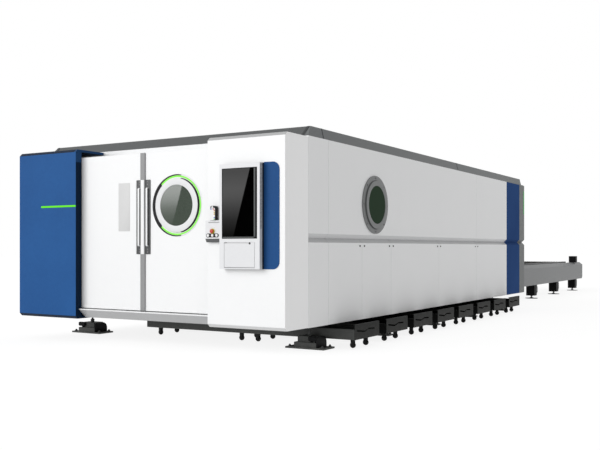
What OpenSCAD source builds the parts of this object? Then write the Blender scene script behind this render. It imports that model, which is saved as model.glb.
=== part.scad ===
// Enclosed sheet laser cutter with an exchange table.
// Millimetres, +Z up, +Y from the front doors to the table, +X to the right of the doors.
// Inside the modules X runs from the machine's centre line, Y from the cabinet fronts, Z from the floor.

/* [Enclosure] */
// Width over the side panels
enc_w = 4000; // [3800:10:4400]
// First seam of the side panels behind the cabinet fronts
first_seam = 922; // [860:1:1000]
// Pitch of the panels and of the slag carts
panel_pitch = 851; // [820:1:900]
// Length of the blue stripe
stripe_len = 833; // [600:1:1000]
// Length of the grey cover at the rear corner
rear_cover_len = 337; // [250:1:450]
// Bottom edge of the side panels above the floor
side_bottom = 286; // [270:1:300]
// Top edge of the side panels above the floor
side_top = 2369; // [2350:1:2500]
// Middle of the groove along the side
groove_z = 1261; // [1150:1:1350]
// Height of the groove
groove_h = 100; // [60:1:120]
// Depth of the groove
groove_d = 50; // [30:1:60]
// Panel left behind the groove
groove_back = 10; // [5:1:20]
// Gap between neighbouring panels
seam_gap = 4; // [2:0.5:6]
// Thickness of the front and rear walls
end_wall_t = 40; // [30:1:60]

/* [Roof] */
// Height of the roof above the side panels
roof_h = 121; // [80:1:180]
// Run of the sloped front edge
roof_front_run = 115; // [60:1:160]
// Run of the sloped side edges
roof_side_run = 30; // [10:1:60]
// Setback of the roof behind the side panels
roof_set = 12; // [5:1:30]
// Raised roof ends this far before the rear face
roof_back = 170; // [120:1:240]
// Sheet of the roof
roof_t = 8; // [4:1:12]

/* [Front cabinets] */
// Width of a cabinet
cabinet_w = 1000; // [950:5:1050]
// Depth of a cabinet
cabinet_d = 475; // [460:1:520]
// Bottom of a cabinet above the floor
cabinet_bottom = 288; // [270:1:300]
// Top of a cabinet above the floor
cabinet_top = 2358; // [2330:1:2368]
// Chamfer along the top and bottom of the front
cabinet_chamfer = 36; // [20:1:50]
// Wall of a cabinet
cabinet_t = 30; // [20:1:34]
// Depth of the jamb beside the left leaf
jamb_d = 98; // [60:1:100]

/* [Doors] */
// Front plane of the leaves behind the cabinet fronts
door_set = 105; // [105:1:125]
// Thickness of a leaf
door_t = 50; // [30:1:60]
// Bottom of the leaves above the floor
door_bottom = 420; // [415:1:450]
// Top of the leaves above the floor
door_top = 2260; // [2240:1:2300]
// Where the leaves meet, from the centre line
door_meet = -10; // [-30:1:30]
// Gap between the closed leaves
door_gap = 4; // [2:0.5:8]
// Lap of a closed leaf behind its cabinet
door_lap = 30; // [20:1:50]
// Width of the strip over the meeting edges
strip_w = 70; // [50:1:90]
// Thickness of that strip
strip_t = 14; // [8:1:20]
// Bottom of the grips above the floor
grip_bottom = 1080; // [1000:1:1150]
// Height of the grips
grip_h = 865; // [600:1:900]
// Middle of the right leaf to the centre of its round window
window_side = -19; // [-30:1:30]
// Centre of the round door window above the floor
window_z = 1637; // [1550:1:1700]
// Radius of the clear glass in the doors and the side
glass_r = 234; // [200:1:240]
// Radius of the recess round the door window
window_r = 354; // [350:1:370]

/* [Side window] */
// Centre of the side window behind the cabinet fronts
side_window_y = 2132; // [2100:1:2200]
// Centre of the side window above the floor
side_window_z = 1692; // [1680:1:1800]
// Radius of the bolted flange
flange_r = 363; // [350:1:380]
// Bolts on the flange
flange_bolts = 8; // [6:1:12]

/* [Console] */
// Inner end of the right cabinet to the left side of the console
console_in = 224; // [200:1:250]
// Width of the console
console_w = 516; // [480:1:540]
// Bottom of the console above the floor
console_bottom = 930; // [880:1:980]
// Height of the console
console_h = 1115; // [1050:1:1200]
// Depth of the console
console_d = 85; // [80:1:110]
// Wall of the console
console_t = 12; // [8:1:16]
// Height of the screen opening
screen_h = 748; // [700:1:770]
// Height of the keyboard flap
flap_h = 270; // [240:1:280]
// Width of the button box
button_box_w = 212; // [190:1:220]
// Depth of the button box
button_box_d = 52; // [45:1:56]

/* [Bed and gantry] */
// Side face of the enclosure to the inner face of a bed beam
bed_in = 640; // [600:5:700]
// Width of a bed beam
bed_beam_w = 340; // [300:5:380]
// Underside of the bed
bed_bottom = 300; // [300:1:310]
// Top of the bed beams
bed_top = 1000; // [950:5:1050]
// Section of a guide rail
rail_w = 45; // [35:1:55]
// Height of the gantry beam
gantry_h = 380; // [300:5:420]
// Depth of the gantry beam
gantry_d = 350; // [300:5:400]

/* [Exchange table] */
// Length of the table
table_len = 7600; // [7400:10:8000]
// Width of a table beam
table_beam_w = 160; // [140:1:200]
// Top of the table beams above the floor
table_top = 760; // [740:1:780]
// Length of a pallet
pallet_len = 6250; // [6000:10:6300]
// Travel of a pallet between the table and the bed
pallet_travel = 7850; // [7600:10:7900]
// Height of a pallet
pallet_h = 100; // [80:1:110]
// Slats on a pallet
slat_count = 56; // [40:1:60]

/* [Slag carts] */
// Width of a cart along the machine
cart_w = 640; // [600:5:660]
// Length of a cart
cart_len = 3070; // [2900:10:3200]
// Reach of a cart beyond the side panels
cart_reach = 250; // [150:5:300]
// Bottom of a cart tray above the floor
cart_bottom = 110; // [100:1:130]
// Top of a cart's end face above the floor
cart_top = 284; // [260:1:288]
// Sheet of a cart tray
cart_t = 6; // [4:1:8]
// Radius of a caster wheel
caster_r = 36; // [30:1:45]

/* [Feet] */
// Length of a foot plate across the machine
foot_w = 510; // [400:5:520]
// Width of a corner foot plate along the machine
foot_d = 260; // [240:5:300]
// Thickness of a foot plate
foot_t = 20; // [12:1:30]
// Side face of the enclosure to the centre of the feet
foot_in = 285; // [240:5:340]
// Radius of the anchor holes
anchor_r = 13; // [8:0.5:16]

/* [Hidden] */
$fn = 64;
cut = 2;
slide_gap = 0.3;
pin_gap = 0.05;

// Enclosure values
side_pitches = 8;
half_w = enc_w / 2;
wall_in = half_w - groove_d - groove_back;
side_len = first_seam + side_pitches * panel_pitch;
stripe_y = [side_len, side_len + stripe_len];
rear_y = [stripe_y[1], stripe_y[1] + rear_cover_len];
enc_len = rear_y[1];
lower_seam_steps = [0, 1, 2, 4, 6];
upper_seam_steps = [0, 6];
front_wall_y = [cabinet_d, cabinet_d + end_wall_t];
rear_wall_y = [enc_len - end_wall_t, enc_len];
post_w = 60;
latch_r = 11;
latch_proud = 6;
latch_drop = 34;
latch_side = 60;

// Door and cabinet values
leaf_y = [door_set, door_set + door_t];
doorway = half_w - cabinet_w;
leaf_edge = doorway + door_lap;
right_leaf_x = [door_meet + door_gap / 2, leaf_edge];
window_x = (right_leaf_x[0] + right_leaf_x[1]) / 2 + window_side;
doorway_inset = 40;
sill_gap = 10;
sill_z = [bed_bottom, door_bottom - sill_gap];
sill_nose = 10;
sill_y = 50;
sill_run = 110;
track_h = 80;
track_set = 10;
track_drop = 60;
track_y = [leaf_y[1] + track_set, cabinet_d];
track_z = [door_top - track_drop - track_h, door_top - track_drop];
runner_w = 10;
runner_h = 15;
runner_in = 15;
hanger_len = 160;
hanger_h = 36;
hanger_d = 50;
hanger_in = 120;
strip_lead_share = 0.54;
strip_x = door_meet - strip_w * strip_lead_share;
strip_y = [door_set - slide_gap - strip_t, door_set - slide_gap];
centre_bar_w = 50;
centre_bar_t = 5;
handle_base_w = 66;
handle_base_t = 8;
grip_w = 34;
grip_t = 8;
grip_stand = 16;
grip_in = 90;
grip_out = 8;

// Window values
glass_lap = 8;
window_hole_r = glass_r + 2 * glass_lap;
glass_t = 6;
ring_w = 70;
recess_d = 22;
ring_proud = 41;
ring_edge = 12;
ring_lip = 5;
glass_set = 3;
frame_wall = 4;
frame_lap = 4;
light_in = 13;
light_w = 16;
light_proud = 6;
flange_t = 14;
flange_ring_w = 50;
flange_ring_proud = 36;
flange_hole_r = glass_r + flange_ring_w;
bolt_r = 9;
bolt_h = 8;
bolt_in = 28;

// Console values
console_x = doorway + console_in;
console_xs = [console_x, console_x + console_w];
console_zs = [console_bottom, console_bottom + console_h];
screen_side = 32;
screen_rim = 47;
screen_xs = [console_xs[0] + screen_side, console_xs[1] - screen_side];
screen_zs = [console_zs[1] - screen_rim - screen_h, console_zs[1] - screen_rim];
screen_t = 30;
screen_set = 5;
flap_side = 60;
flap_rim = 13;
flap_gap = 1.5;
flap_t = 12;
flap_xs = [console_xs[0] + flap_side, console_xs[1] - flap_side];
flap_zs = [console_bottom + flap_rim, console_bottom + flap_rim + flap_h];
flap_foot = 5;
flap_pin_r = 4;
flap_pin_up = 12;
flap_pin_len = 8;
flap_pin_y = -console_d + flap_t / 2;
flap_pin_z = flap_zs[0] + flap_pin_up;
flap_slot_in = 6;
flap_slot_h = 8;
flap_slot_drop = 5;
flap_slot_d = 5;
lock_r = 8;
lock_proud = 4;
lock_in = 64;
lock_drop = 12;
key_rows = 4;
key_columns = 12;
key_share = 0.8;
key_h = 4;
keyboard_t = 18;
keyboard_in = 30;
keyboard_up = 35;
plate_w = 191;
plate_t = 6;
plate_r = 80;
plate_over = 6;
button_box_xs = [console_x - button_box_w, console_x];
button_box_zs = [1214, 1450];
button_tray_h = 38;
button_tray_run = 18;
button_bore_d = 24;
button_r = 15;
button_proud = 6;
button_stem = 12;
button_up = 74;
button_shares = [0.18, 0.455, 0.72];
estop_r = 25;
estop_stem_r = 11;
estop_cap = 14;
estop_proud = 28;
estop_stem = 14;
estop_up = 120;
handset_w = 67;
handset_h = 158;
handset_t = 54;
handset_r = 22;
handset_set = 8;
handset_in = 70;

// Bed and gantry values
bed_half = half_w - bed_in;
bed_out = bed_half + bed_beam_w;
bed_y = [front_wall_y[1] + post_w, rear_wall_y[0] - post_w];
cross_h = 100;
cross_w = 120;
rail_h = 50;
rail_end = 50;
rail_x = bed_half + bed_beam_w / 2;
rack_w = 40;
rack_h = 40;
rack_set = 110;
truck_w = 160;
truck_len = 700;
truck_h = 170;
truck_skirt = 40;
gantry_park = 350;
gantry_y = [bed_y[1] - gantry_park - gantry_d - truck_len / 2, bed_y[1] - gantry_park - truck_len / 2];
gantry_z = [bed_top + rail_h + truck_h - truck_skirt, bed_top + rail_h + truck_h - truck_skirt + gantry_h];
carriage_w = 300;
carriage_t = 140;
carriage_lip = 40;
carriage_hook = 100;
carriage_drop = 20;
head_w = 140;
head_t = 90;
head_up = 40;
head_body_r = 45;
head_body_h = 110;
nozzle_tip_r = 6;
nozzle_h = 60;
nozzle_lift = 110;

// Table and pallet values
table_y = [enc_len, enc_len + table_len];
table_bottom = 310;
table_out = bed_half + table_beam_w;
table_chamfer = 70;
table_end = 60;
table_cross_w = 120;
end_beam_set = 2;
table_cross_h = 90;
leg_first = 2670;
leg_end = 810;
leg_rows = 3;
leg_pitch = (table_len - leg_first - leg_end) / (leg_rows - 1);
leg_w = 190;
leg_d = 200;
leg_foot = 66;
leg_in = 25;
pad_r = 140;
pad_t = 8;
jack_r = 14;
track_w = 70;
track_t = 20;
upper_track_z = 690;
lower_track_z = 440;
pallet_gap = 20;
pallet_rail_w = 80;
pallet_half = bed_half - pallet_gap;
pallet_lead = 150;
slat_t = 6;
slat_drop = 20;
drive_box_w = 184;
drive_box_len = 170;
drive_box_h = 170;
drive_box_end = 830;
rear_gate = [420, 1060];

// Cart and foot values
cart_lead = 167;
cart_face = half_w + cart_reach;
cart_side_drop = 56;
caster_x_shares = [0.034, 0.46, 0.54, 0.966];
caster_y_shares = [0.24, 0.76];
caster_w = 28;
fork_w = 44;
fork_len = 56;
slot_points_share = [[0.075, 0.59], [0.39, 0.46], [0.56, 0.60], [0.80, 0.55]];
slot_h = 18;
foot_clear = 19;
foot_x = half_w - foot_in;
foot_narrow = panel_pitch - cart_w - 2 * foot_clear;
foot_lap = 38;
foot_block_w = 292;
foot_block_share = 0.87;
foot_step_h = 55;
foot_top_w = 226;
foot_top_share = 0.65;
foot_top_h = 68;
foot_bolt_r = 12;
foot_nut_r = 24;
foot_nut_h = 22;
foot_cap_r = 36;
foot_cap_h = 14;
anchor_in = 40;

// Reach of the whole machine, which sets its frame
reach_x = [-half_w, cart_face];
reach_y = [-console_d - lock_proud, table_y[1]];
mid = [(reach_x[0] + reach_x[1]) / 2, (reach_y[0] + reach_y[1]) / 2];

function cart_y(k) = first_seam + cart_lead + k * panel_pitch;
function gap_y(k) = cart_y(k) - (panel_pitch - cart_w) / 2;
function seams(steps) = concat([cabinet_d], [for (s = steps) first_seam + s * panel_pitch], [side_len]);

corner_feet = [cart_y(0) + foot_lap - foot_d / 2,
               cart_y(side_pitches - 1) + cart_w - foot_lap + foot_d / 2];
middle_feet = [gap_y(2), gap_y(4), gap_y(6)];
bed_rows = concat(corner_feet, middle_feet);

upper_section = [[wall_in, groove_z], [half_w - groove_d, groove_z], [half_w, groove_z + groove_h / 2],
                 [half_w, side_top], [wall_in, side_top]];
lower_section = [[wall_in, side_bottom], [half_w, side_bottom], [half_w, groove_z - groove_h / 2],
                 [half_w - groove_d, groove_z], [wall_in, groove_z]];

white = "white";
grey = "gray";
dark = [0.22, 0.23, 0.23];
black = [0.08, 0.08, 0.08];
blue = [0.2, 0.36, 0.6];
steel = "silver";
green = [0.45, 0.95, 0.25];
glass_green = [0.3, 0.34, 0.3];

// Moves the machine so that its frame sits under the middle of its reach
module set_down() {
    translate([-mid[0], -mid[1], 0]) children();
}

// Box between two places on each axis
module span(x, y, z) {
    translate([x[0], y[0], z[0]]) cube([x[1] - x[0], y[1] - y[0], z[1] - z[0]]);
}

// Outline in X and Z carried along Y
module run_y(y) {
    translate([0, y[1], 0]) rotate([90, 0, 0]) linear_extrude(y[1] - y[0]) children();
}

// Outline in Y and Z carried along X
module run_x(x) {
    translate([x[0], 0, 0]) rotate([90, 0, 90]) linear_extrude(x[1] - x[0]) children();
}

// Round bars along each axis
module bar_x(y, z, r, x) {
    translate([x[0], y, z]) rotate([0, 90, 0]) cylinder(h = x[1] - x[0], r = r);
}

module bar_y(x, z, r, y) {
    translate([x, y[0], z]) rotate([-90, 0, 0]) cylinder(h = y[1] - y[0], r = r);
}

module bar_z(x, y, r, z) {
    translate([x, y, z[0]]) cylinder(h = z[1] - z[0], r = r);
}

// Turned ring that faces the front, from radius and height points
module front_ring(x, y, z, points) {
    translate([x, y, z]) rotate([90, 0, 0]) rotate_extrude() polygon(points);
}

// Turned ring that faces the right side
module side_ring(x, y, z, points) {
    translate([x, y, z]) rotate([0, 90, 0]) rotate_extrude() polygon(points);
}

module both_sides() {
    children();
    mirror([1, 0, 0]) children();
}

// Row of side panels with a gap at each seam
module panel_row(section, steps) {
    edges = seams(steps);
    for (i = [0 : len(edges) - 2])
        run_y([edges[i] + (i == 0 ? 0 : seam_gap / 2),
               edges[i + 1] - (i == len(edges) - 2 ? 0 : seam_gap / 2)])
            polygon(section);
}

module right_upper_panels() {
    color(white) set_down() difference() {
        panel_row(upper_section, upper_seam_steps);
        bar_x(side_window_y, side_window_z, flange_hole_r, [wall_in - cut, half_w + cut]);
    }
}

module right_lower_panels() {
    color(white) set_down() panel_row(lower_section, lower_seam_steps);
}

// Both rows of panels on the left side, which has no window
module left_panels() {
    color(white) set_down() mirror([1, 0, 0]) {
        panel_row(upper_section, upper_seam_steps);
        panel_row(lower_section, lower_seam_steps);
    }
}

// Round latches that flank the seams of the right lower panels
module panel_latches() {
    latch_z = groove_z - groove_h / 2 - latch_drop;
    color(dark) set_down()
        for (s = [1, 2, 4, 6], side = [-1, 1])
            bar_x(first_seam + s * panel_pitch + side * latch_side, latch_z, latch_r,
                  [half_w, half_w + latch_proud]);
}

// Full section of the side with its groove
module side_section() {
    polygon(upper_section);
    polygon(lower_section);
}

module side_stripes() {
    color(blue) set_down() both_sides() run_y([stripe_y[0], stripe_y[1] - seam_gap / 2]) side_section();
}

module rear_covers() {
    color(grey) set_down() both_sides() run_y([rear_y[0] + seam_gap / 2, rear_y[1]]) side_section();
}

// Rear wall with the gate that the pallets pass
module rear_wall() {
    color(grey) set_down() difference() {
        span([-wall_in, wall_in], rear_wall_y, [bed_bottom, side_top]);
        span([-bed_half, bed_half], [rear_wall_y[0] - cut, rear_wall_y[1] + cut], rear_gate);
    }
}

// Rails and posts that carry the side panels from the bed
module wall_frame() {
    posts = [for (s = lower_seam_steps) first_seam + s * panel_pitch];
    frame_y = [front_wall_y[1], rear_wall_y[0]];
    top_rail_z = [side_top - post_w, side_top];
    foot_rail_z = [bed_bottom, bed_bottom + post_w];
    color(grey) set_down() both_sides() {
        span([bed_out, wall_in], frame_y, foot_rail_z);
        span([wall_in - post_w, wall_in], frame_y, top_rail_z);
        for (p = posts)
            span([wall_in - post_w, wall_in], [p - post_w / 2, p + post_w / 2],
                 [foot_rail_z[1], top_rail_z[0]]);
    }
}

// Roof body with all its edges sloped inwards, shrunk by t on every face but the open underside
module roof_body(t) {
    front = cabinet_d + roof_set;
    rear = enc_len - roof_back;
    side = half_w - roof_set;
    low = side_top - (t > 0 ? cut : 0);
    high = side_top + roof_h - t;
    intersection() {
        run_x([-half_w, half_w])
            polygon([[front + t, low], [rear - t, low], [rear - t, high],
                     [front + roof_front_run + t, high]]);
        run_y([0, enc_len])
            polygon([[-side + t, low], [side - t, low], [side - roof_side_run - t, high],
                     [-side + roof_side_run + t, high]]);
    }
}

// Roof in three lengths, and a flat plate behind the last one
module roof() {
    middle = first_seam + (side_pitches / 2 + 1) * panel_pitch;
    joints = [cabinet_d, first_seam - cart_lead / 2, middle, enc_len];
    color(dark) set_down()
        for (i = [0 : len(joints) - 2])
            intersection() {
                difference() {
                    roof_body(0);
                    roof_body(roof_t);
                }
                span([-half_w, half_w], [joints[i] + seam_gap / 2, joints[i + 1] - seam_gap / 2],
                     [side_top - cut, side_top + roof_h + cut]);
            }
    color(dark) set_down()
        span([roof_set - half_w, half_w - roof_set], [enc_len - roof_back - roof_t, enc_len - roof_set],
             [side_top, side_top + roof_t]);
}

// Wall behind the doors, with the doorway
module front_wall() {
    color(white) set_down() difference() {
        span([-wall_in, wall_in], front_wall_y, [bed_bottom, side_top]);
        span([-doorway + doorway_inset, doorway - doorway_inset],
             [front_wall_y[0] - cut, front_wall_y[1] + cut], [sill_z[1], track_z[0]]);
    }
}

// Cabinet section in Y and Z, shrunk by t, open towards the front wall when t is not zero
module cabinet_outline(t) {
    back = cabinet_d + (t > 0 ? cut : 0);
    polygon([[t, cabinet_bottom + cabinet_chamfer], [cabinet_chamfer, cabinet_bottom + t],
             [back, cabinet_bottom + t], [back, cabinet_top - t], [cabinet_chamfer, cabinet_top - t],
             [t, cabinet_top - cabinet_chamfer]]);
}

// Cabinet shell, open towards the doors and the front wall
module cabinet_shell() {
    difference() {
        run_x([doorway, half_w]) cabinet_outline(0);
        run_x([doorway - cut, half_w - cabinet_t]) cabinet_outline(cabinet_t);
    }
}

// Blue cabinet with a jamb folded back beside the leaf
module left_cabinet() {
    color(blue) set_down() mirror([1, 0, 0]) {
        cabinet_shell();
        intersection() {
            run_x([doorway, doorway + cabinet_t]) cabinet_outline(0);
            span([doorway, doorway + cabinet_t], [0, jamb_d], [cabinet_bottom, cabinet_top]);
        }
    }
}

module right_cabinet() {
    color(white) set_down() cabinet_shell();
}

// Sill with a sloped front face
module door_sill() {
    color(grey) set_down() run_x([-doorway, doorway])
        polygon([[sill_y, sill_z[1]], [sill_y, sill_z[1] - sill_nose], [sill_y + sill_run, sill_z[0]],
                 [cabinet_d, sill_z[0]], [cabinet_d, sill_z[1]]]);
}

// Beam with the runner that both leaves hang on
module door_top_track() {
    half_track = half_w - cabinet_t - track_set;
    runner_y = [track_y[0] + runner_in, track_y[0] + runner_in + runner_w];
    color(steel) set_down() {
        span([-half_track, half_track], track_y, track_z);
        span([-half_track, half_track], runner_y, [track_z[1], track_z[1] + runner_h]);
    }
}

// Hanger that straddles the runner
module leaf_hanger(x) {
    runner_y = track_y[0] + runner_in;
    difference() {
        span([x - hanger_len / 2, x + hanger_len / 2], [leaf_y[1], leaf_y[1] + hanger_d],
             [track_z[1] + slide_gap, track_z[1] + slide_gap + hanger_h]);
        span([x - hanger_len, x + hanger_len], [runner_y - slide_gap, runner_y + runner_w + slide_gap],
             [track_z[1] - cut, track_z[1] + runner_h + slide_gap]);
    }
}

// Door leaf between two edges with its two hangers
module leaf(x) {
    span(x, leaf_y, [door_bottom, door_top]);
    for (h = [x[0] + hanger_in, x[1] - hanger_in]) leaf_hanger(h);
}

module left_door() {
    color(white) set_down() leaf([-leaf_edge, door_meet - door_gap / 2]);
}

module right_door() {
    color(white) set_down() difference() {
        leaf(right_leaf_x);
        bar_y(window_x, window_z, window_hole_r, [leaf_y[0] - cut, leaf_y[1] + cut]);
        bar_y(window_x, window_z, window_r, [leaf_y[0] - cut, leaf_y[0] + recess_d]);
    }
}

// Back plate and grip bar on two standoffs, from the edge beside the cover strip outwards
module door_handle() {
    plate_z = [grip_bottom, grip_bottom + grip_h];
    grip_y = door_set - handle_base_t - grip_stand - grip_t;
    span([0, handle_base_w], [door_set - handle_base_t, door_set], plate_z);
    span([grip_out, grip_out + grip_w], [grip_y, grip_y + grip_t],
         [plate_z[0] + grip_in, plate_z[1] - grip_in]);
    for (z = [plate_z[0] + grip_in, plate_z[1] - grip_in - grip_w])
        span([grip_out, grip_out + grip_w], [grip_y + grip_t, door_set - handle_base_t], [z, z + grip_w]);
}

module left_door_handle() {
    color(dark) set_down() translate([strip_x - slide_gap, 0, 0]) mirror([1, 0, 0]) door_handle();
}

module right_door_handle() {
    color(dark) set_down() translate([strip_x + strip_w + slide_gap, 0, 0]) door_handle();
}

// Strip over the meeting edges, carried by the left leaf
module door_cover_strip() {
    color(grey) set_down() span([strip_x, strip_x + strip_w], strip_y, [door_bottom, door_top]);
}

module door_centre_bar() {
    side = (strip_w - centre_bar_w) / 2;
    color(white) set_down()
        span([strip_x + side, strip_x + side + centre_bar_w], [strip_y[0] - centre_bar_t, strip_y[0]],
             [grip_bottom, grip_bottom + grip_h]);
}

// Floor of the recess round the door window
window_floor = door_set + recess_d;

// Dark tub in the recess: its floor, its outer wall, and a collar round the white ring
module door_window_frame() {
    inner = glass_r + ring_w + slide_gap;
    outer = window_r - slide_gap;
    color(dark) set_down() front_ring(window_x, window_floor, window_z,
        [[inner, 0], [outer, 0], [outer, recess_d], [outer - frame_wall, recess_d],
         [outer - frame_wall, frame_wall], [inner + frame_wall, frame_wall],
         [inner + frame_wall, ring_proud - frame_lap], [inner, ring_proud - frame_lap]]);
}

module door_window_ring() {
    outer = glass_r + ring_w;
    color(white) set_down() front_ring(window_x, window_floor, window_z,
        [[glass_r, 0], [outer, 0], [outer, ring_proud - ring_lip], [outer - ring_lip, ring_proud],
         [glass_r, ring_proud]]);
}

// Light ring on the floor of the tub
module door_window_light() {
    inner = glass_r + ring_w + light_in;
    color(green) set_down() front_ring(window_x, window_floor - frame_wall, window_z,
        [[inner, 0], [inner + light_w, 0], [inner + light_w, light_proud], [inner, light_proud]]);
}

// Glass in the bore of the white ring, near its front
module door_window_glass() {
    front = window_floor - ring_proud + glass_set;
    color(glass_green) set_down()
        bar_y(window_x, window_z, glass_r - slide_gap, [front, front + glass_t]);
}

// Bolted flange of the side window with a raised ring round the glass
module side_window_flange() {
    ring_out = glass_r + flange_ring_w;
    color(grey) set_down() {
        side_ring(half_w, side_window_y, side_window_z,
            [[glass_r, 0], [flange_r, 0], [flange_r, flange_t], [ring_out, flange_t],
             [ring_out - ring_edge, flange_ring_proud], [glass_r + ring_edge, flange_ring_proud],
             [glass_r, flange_t]]);
        for (i = [0 : flange_bolts - 1])
            bar_x(side_window_y + (flange_r - bolt_in) * cos(360 * i / flange_bolts),
                  side_window_z + (flange_r - bolt_in) * sin(360 * i / flange_bolts),
                  bolt_r, [half_w + flange_t - bolt_h, half_w + flange_t + bolt_h]);
    }
}

module side_window_glass() {
    color(glass_green) set_down()
        bar_x(side_window_y, side_window_z, flange_hole_r - slide_gap, [half_w - glass_t, half_w]);
}

// Console shell with openings for the screen and the flap, and bores for the flap's pins
module console_housing() {
    color(white) set_down() difference() {
        span(console_xs, [-console_d, 0], console_zs);
        span([console_xs[0] + console_t, console_xs[1] - console_t], [-console_d + console_t, cut],
             [console_zs[0] + console_t, flap_zs[1]]);
        span([screen_xs[0], screen_xs[1]], [-console_d - cut, -console_d + screen_t + screen_set], screen_zs);
        span(flap_xs, [-console_d - cut, -console_d + console_t + cut], flap_zs);
        bar_x(flap_pin_y, flap_pin_z, flap_pin_r + pin_gap,
              [flap_xs[0] - flap_pin_len - cut, flap_xs[1] + flap_pin_len + cut]);
    }
}

module console_screen() {
    color(black) set_down()
        span([screen_xs[0] + slide_gap, screen_xs[1] - slide_gap],
             [-console_d + screen_set, -console_d + screen_set + screen_t],
             [screen_zs[0] + slide_gap, screen_zs[1] - slide_gap]);
}

// Plain blue plate beside the console with two rounded corners
module console_plate() {
    x = [console_xs[1], console_xs[1] + plate_w];
    z = [console_zs[0], console_zs[1] + plate_over];
    color(blue) set_down() run_y([-plate_t, 0]) {
        translate([x[0], z[0]]) square([plate_w - plate_r, z[1] - z[0]]);
        translate([x[0], z[0] + plate_r]) square([plate_w, z[1] - z[0] - 2 * plate_r]);
        for (c = [z[0] + plate_r, z[1] - plate_r])
            translate([x[1] - plate_r, c]) circle(r = plate_r);
    }
}

// Flap that folds down on two pins at its lower corners, with a slot to pull it
module keyboard_flap() {
    x = [flap_xs[0] + flap_gap, flap_xs[1] - flap_gap];
    slot_z = flap_zs[1] - flap_slot_drop;
    lock = [x[1] - lock_in, flap_zs[1] - lock_drop];
    color(white) set_down() difference() {
        union() {
            span(x, [-console_d, -console_d + flap_t], [flap_zs[0] + flap_foot, flap_zs[1] - flap_gap]);
            bar_x(flap_pin_y, flap_pin_z, flap_pin_r, [flap_xs[0] - flap_pin_len, flap_xs[1] + flap_pin_len]);
        }
        span([x[0] + flap_slot_in, lock[0] - lock_r - flap_slot_in],
             [-console_d - cut, -console_d + flap_slot_d], [slot_z - flap_slot_h, slot_z]);
        bar_y(lock[0], lock[1], lock_r + pin_gap, [-console_d - cut, -console_d + flap_t + cut]);
    }
}

module flap_lock() {
    lock = [flap_xs[1] - flap_gap - lock_in, flap_zs[1] - lock_drop];
    color(black) set_down() bar_y(lock[0], lock[1], lock_r, [-console_d - lock_proud, -console_d + flap_t]);
}

// Keyboard on the inside of the flap
module keyboard() {
    x = [flap_xs[0] + keyboard_in, flap_xs[1] - keyboard_in];
    z = [flap_pin_z + keyboard_up, flap_zs[1] - lock_drop - keyboard_up];
    y = -console_d + flap_t;
    pitch = [(x[1] - x[0]) / key_columns, (z[1] - z[0]) / key_rows];
    color(black) set_down() {
        span(x, [y, y + keyboard_t], z);
        for (c = [0 : key_columns - 1], r = [0 : key_rows - 1])
            translate([x[0] + (c + (1 - key_share) / 2) * pitch[0], y + keyboard_t,
                       z[0] + (r + (1 - key_share) / 2) * pitch[1]])
                cube([pitch[0] * key_share, key_h, pitch[1] * key_share]);
    }
}

// Middle of a push button from the left of its box
function button_x(share) = button_box_xs[0] + button_box_w * share;
button_z = button_box_zs[0] + button_up;
estop_z = button_box_zs[0] + estop_up;

// Box with a sloped tray under it, bored for its buttons
module button_box() {
    floor_y = -button_box_d + button_bore_d;
    color(white) set_down() difference() {
        run_x(button_box_xs)
            polygon([[0, button_box_zs[0]], [-button_box_d + button_tray_run, button_box_zs[0]],
                     [-button_box_d, button_box_zs[0] + button_tray_h], [-button_box_d, button_box_zs[1]],
                     [0, button_box_zs[1]]]);
        for (s = button_shares)
            bar_y(button_x(s), button_z, button_r + slide_gap, [-button_box_d - cut, floor_y]);
        bar_y(button_x(button_shares[1]), estop_z, estop_stem_r + slide_gap, [-button_box_d - cut, floor_y]);
    }
}

module push_button(share) {
    color(white) set_down()
        bar_y(button_x(share), button_z, button_r,
              [-button_box_d - button_proud, -button_box_d + button_stem]);
}

module button_left() {
    push_button(button_shares[0]);
}

module button_middle() {
    push_button(button_shares[1]);
}

module button_right() {
    push_button(button_shares[2]);
}

// Mushroom head on a stem
module estop_button() {
    x = button_x(button_shares[1]);
    front = -button_box_d - estop_proud;
    color("red") set_down() {
        bar_y(x, estop_z, estop_r, [front, front + estop_cap]);
        bar_y(x, estop_z, estop_stem_r, [front, -button_box_d + estop_stem]);
    }
}

// Hand set that stands on the button box
module handset() {
    x = [button_box_xs[0] + handset_in, button_box_xs[0] + handset_in + handset_w];
    z = [button_box_zs[1], button_box_zs[1] + handset_h];
    color(white) set_down() run_y([-handset_t - handset_set, -handset_set]) {
        translate([x[0], z[0]]) square([handset_w, handset_h - handset_r]);
        translate([x[0] + handset_r, z[0]]) square([handset_w - 2 * handset_r, handset_h]);
        for (c = [x[0] + handset_r, x[1] - handset_r])
            translate([c, z[1] - handset_r]) circle(r = handset_r);
    }
}

module bed_side_beams() {
    color(grey) set_down() both_sides() span([bed_half, bed_out], bed_y, [bed_bottom, bed_top]);
}

// Members between the bed beams, in line with the feet
module bed_cross_members() {
    color(dark) set_down()
        for (y = bed_rows)
            span([-bed_half, bed_half], [y - cross_w / 2, y + cross_w / 2],
                 [bed_bottom, bed_bottom + cross_h]);
}

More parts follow.
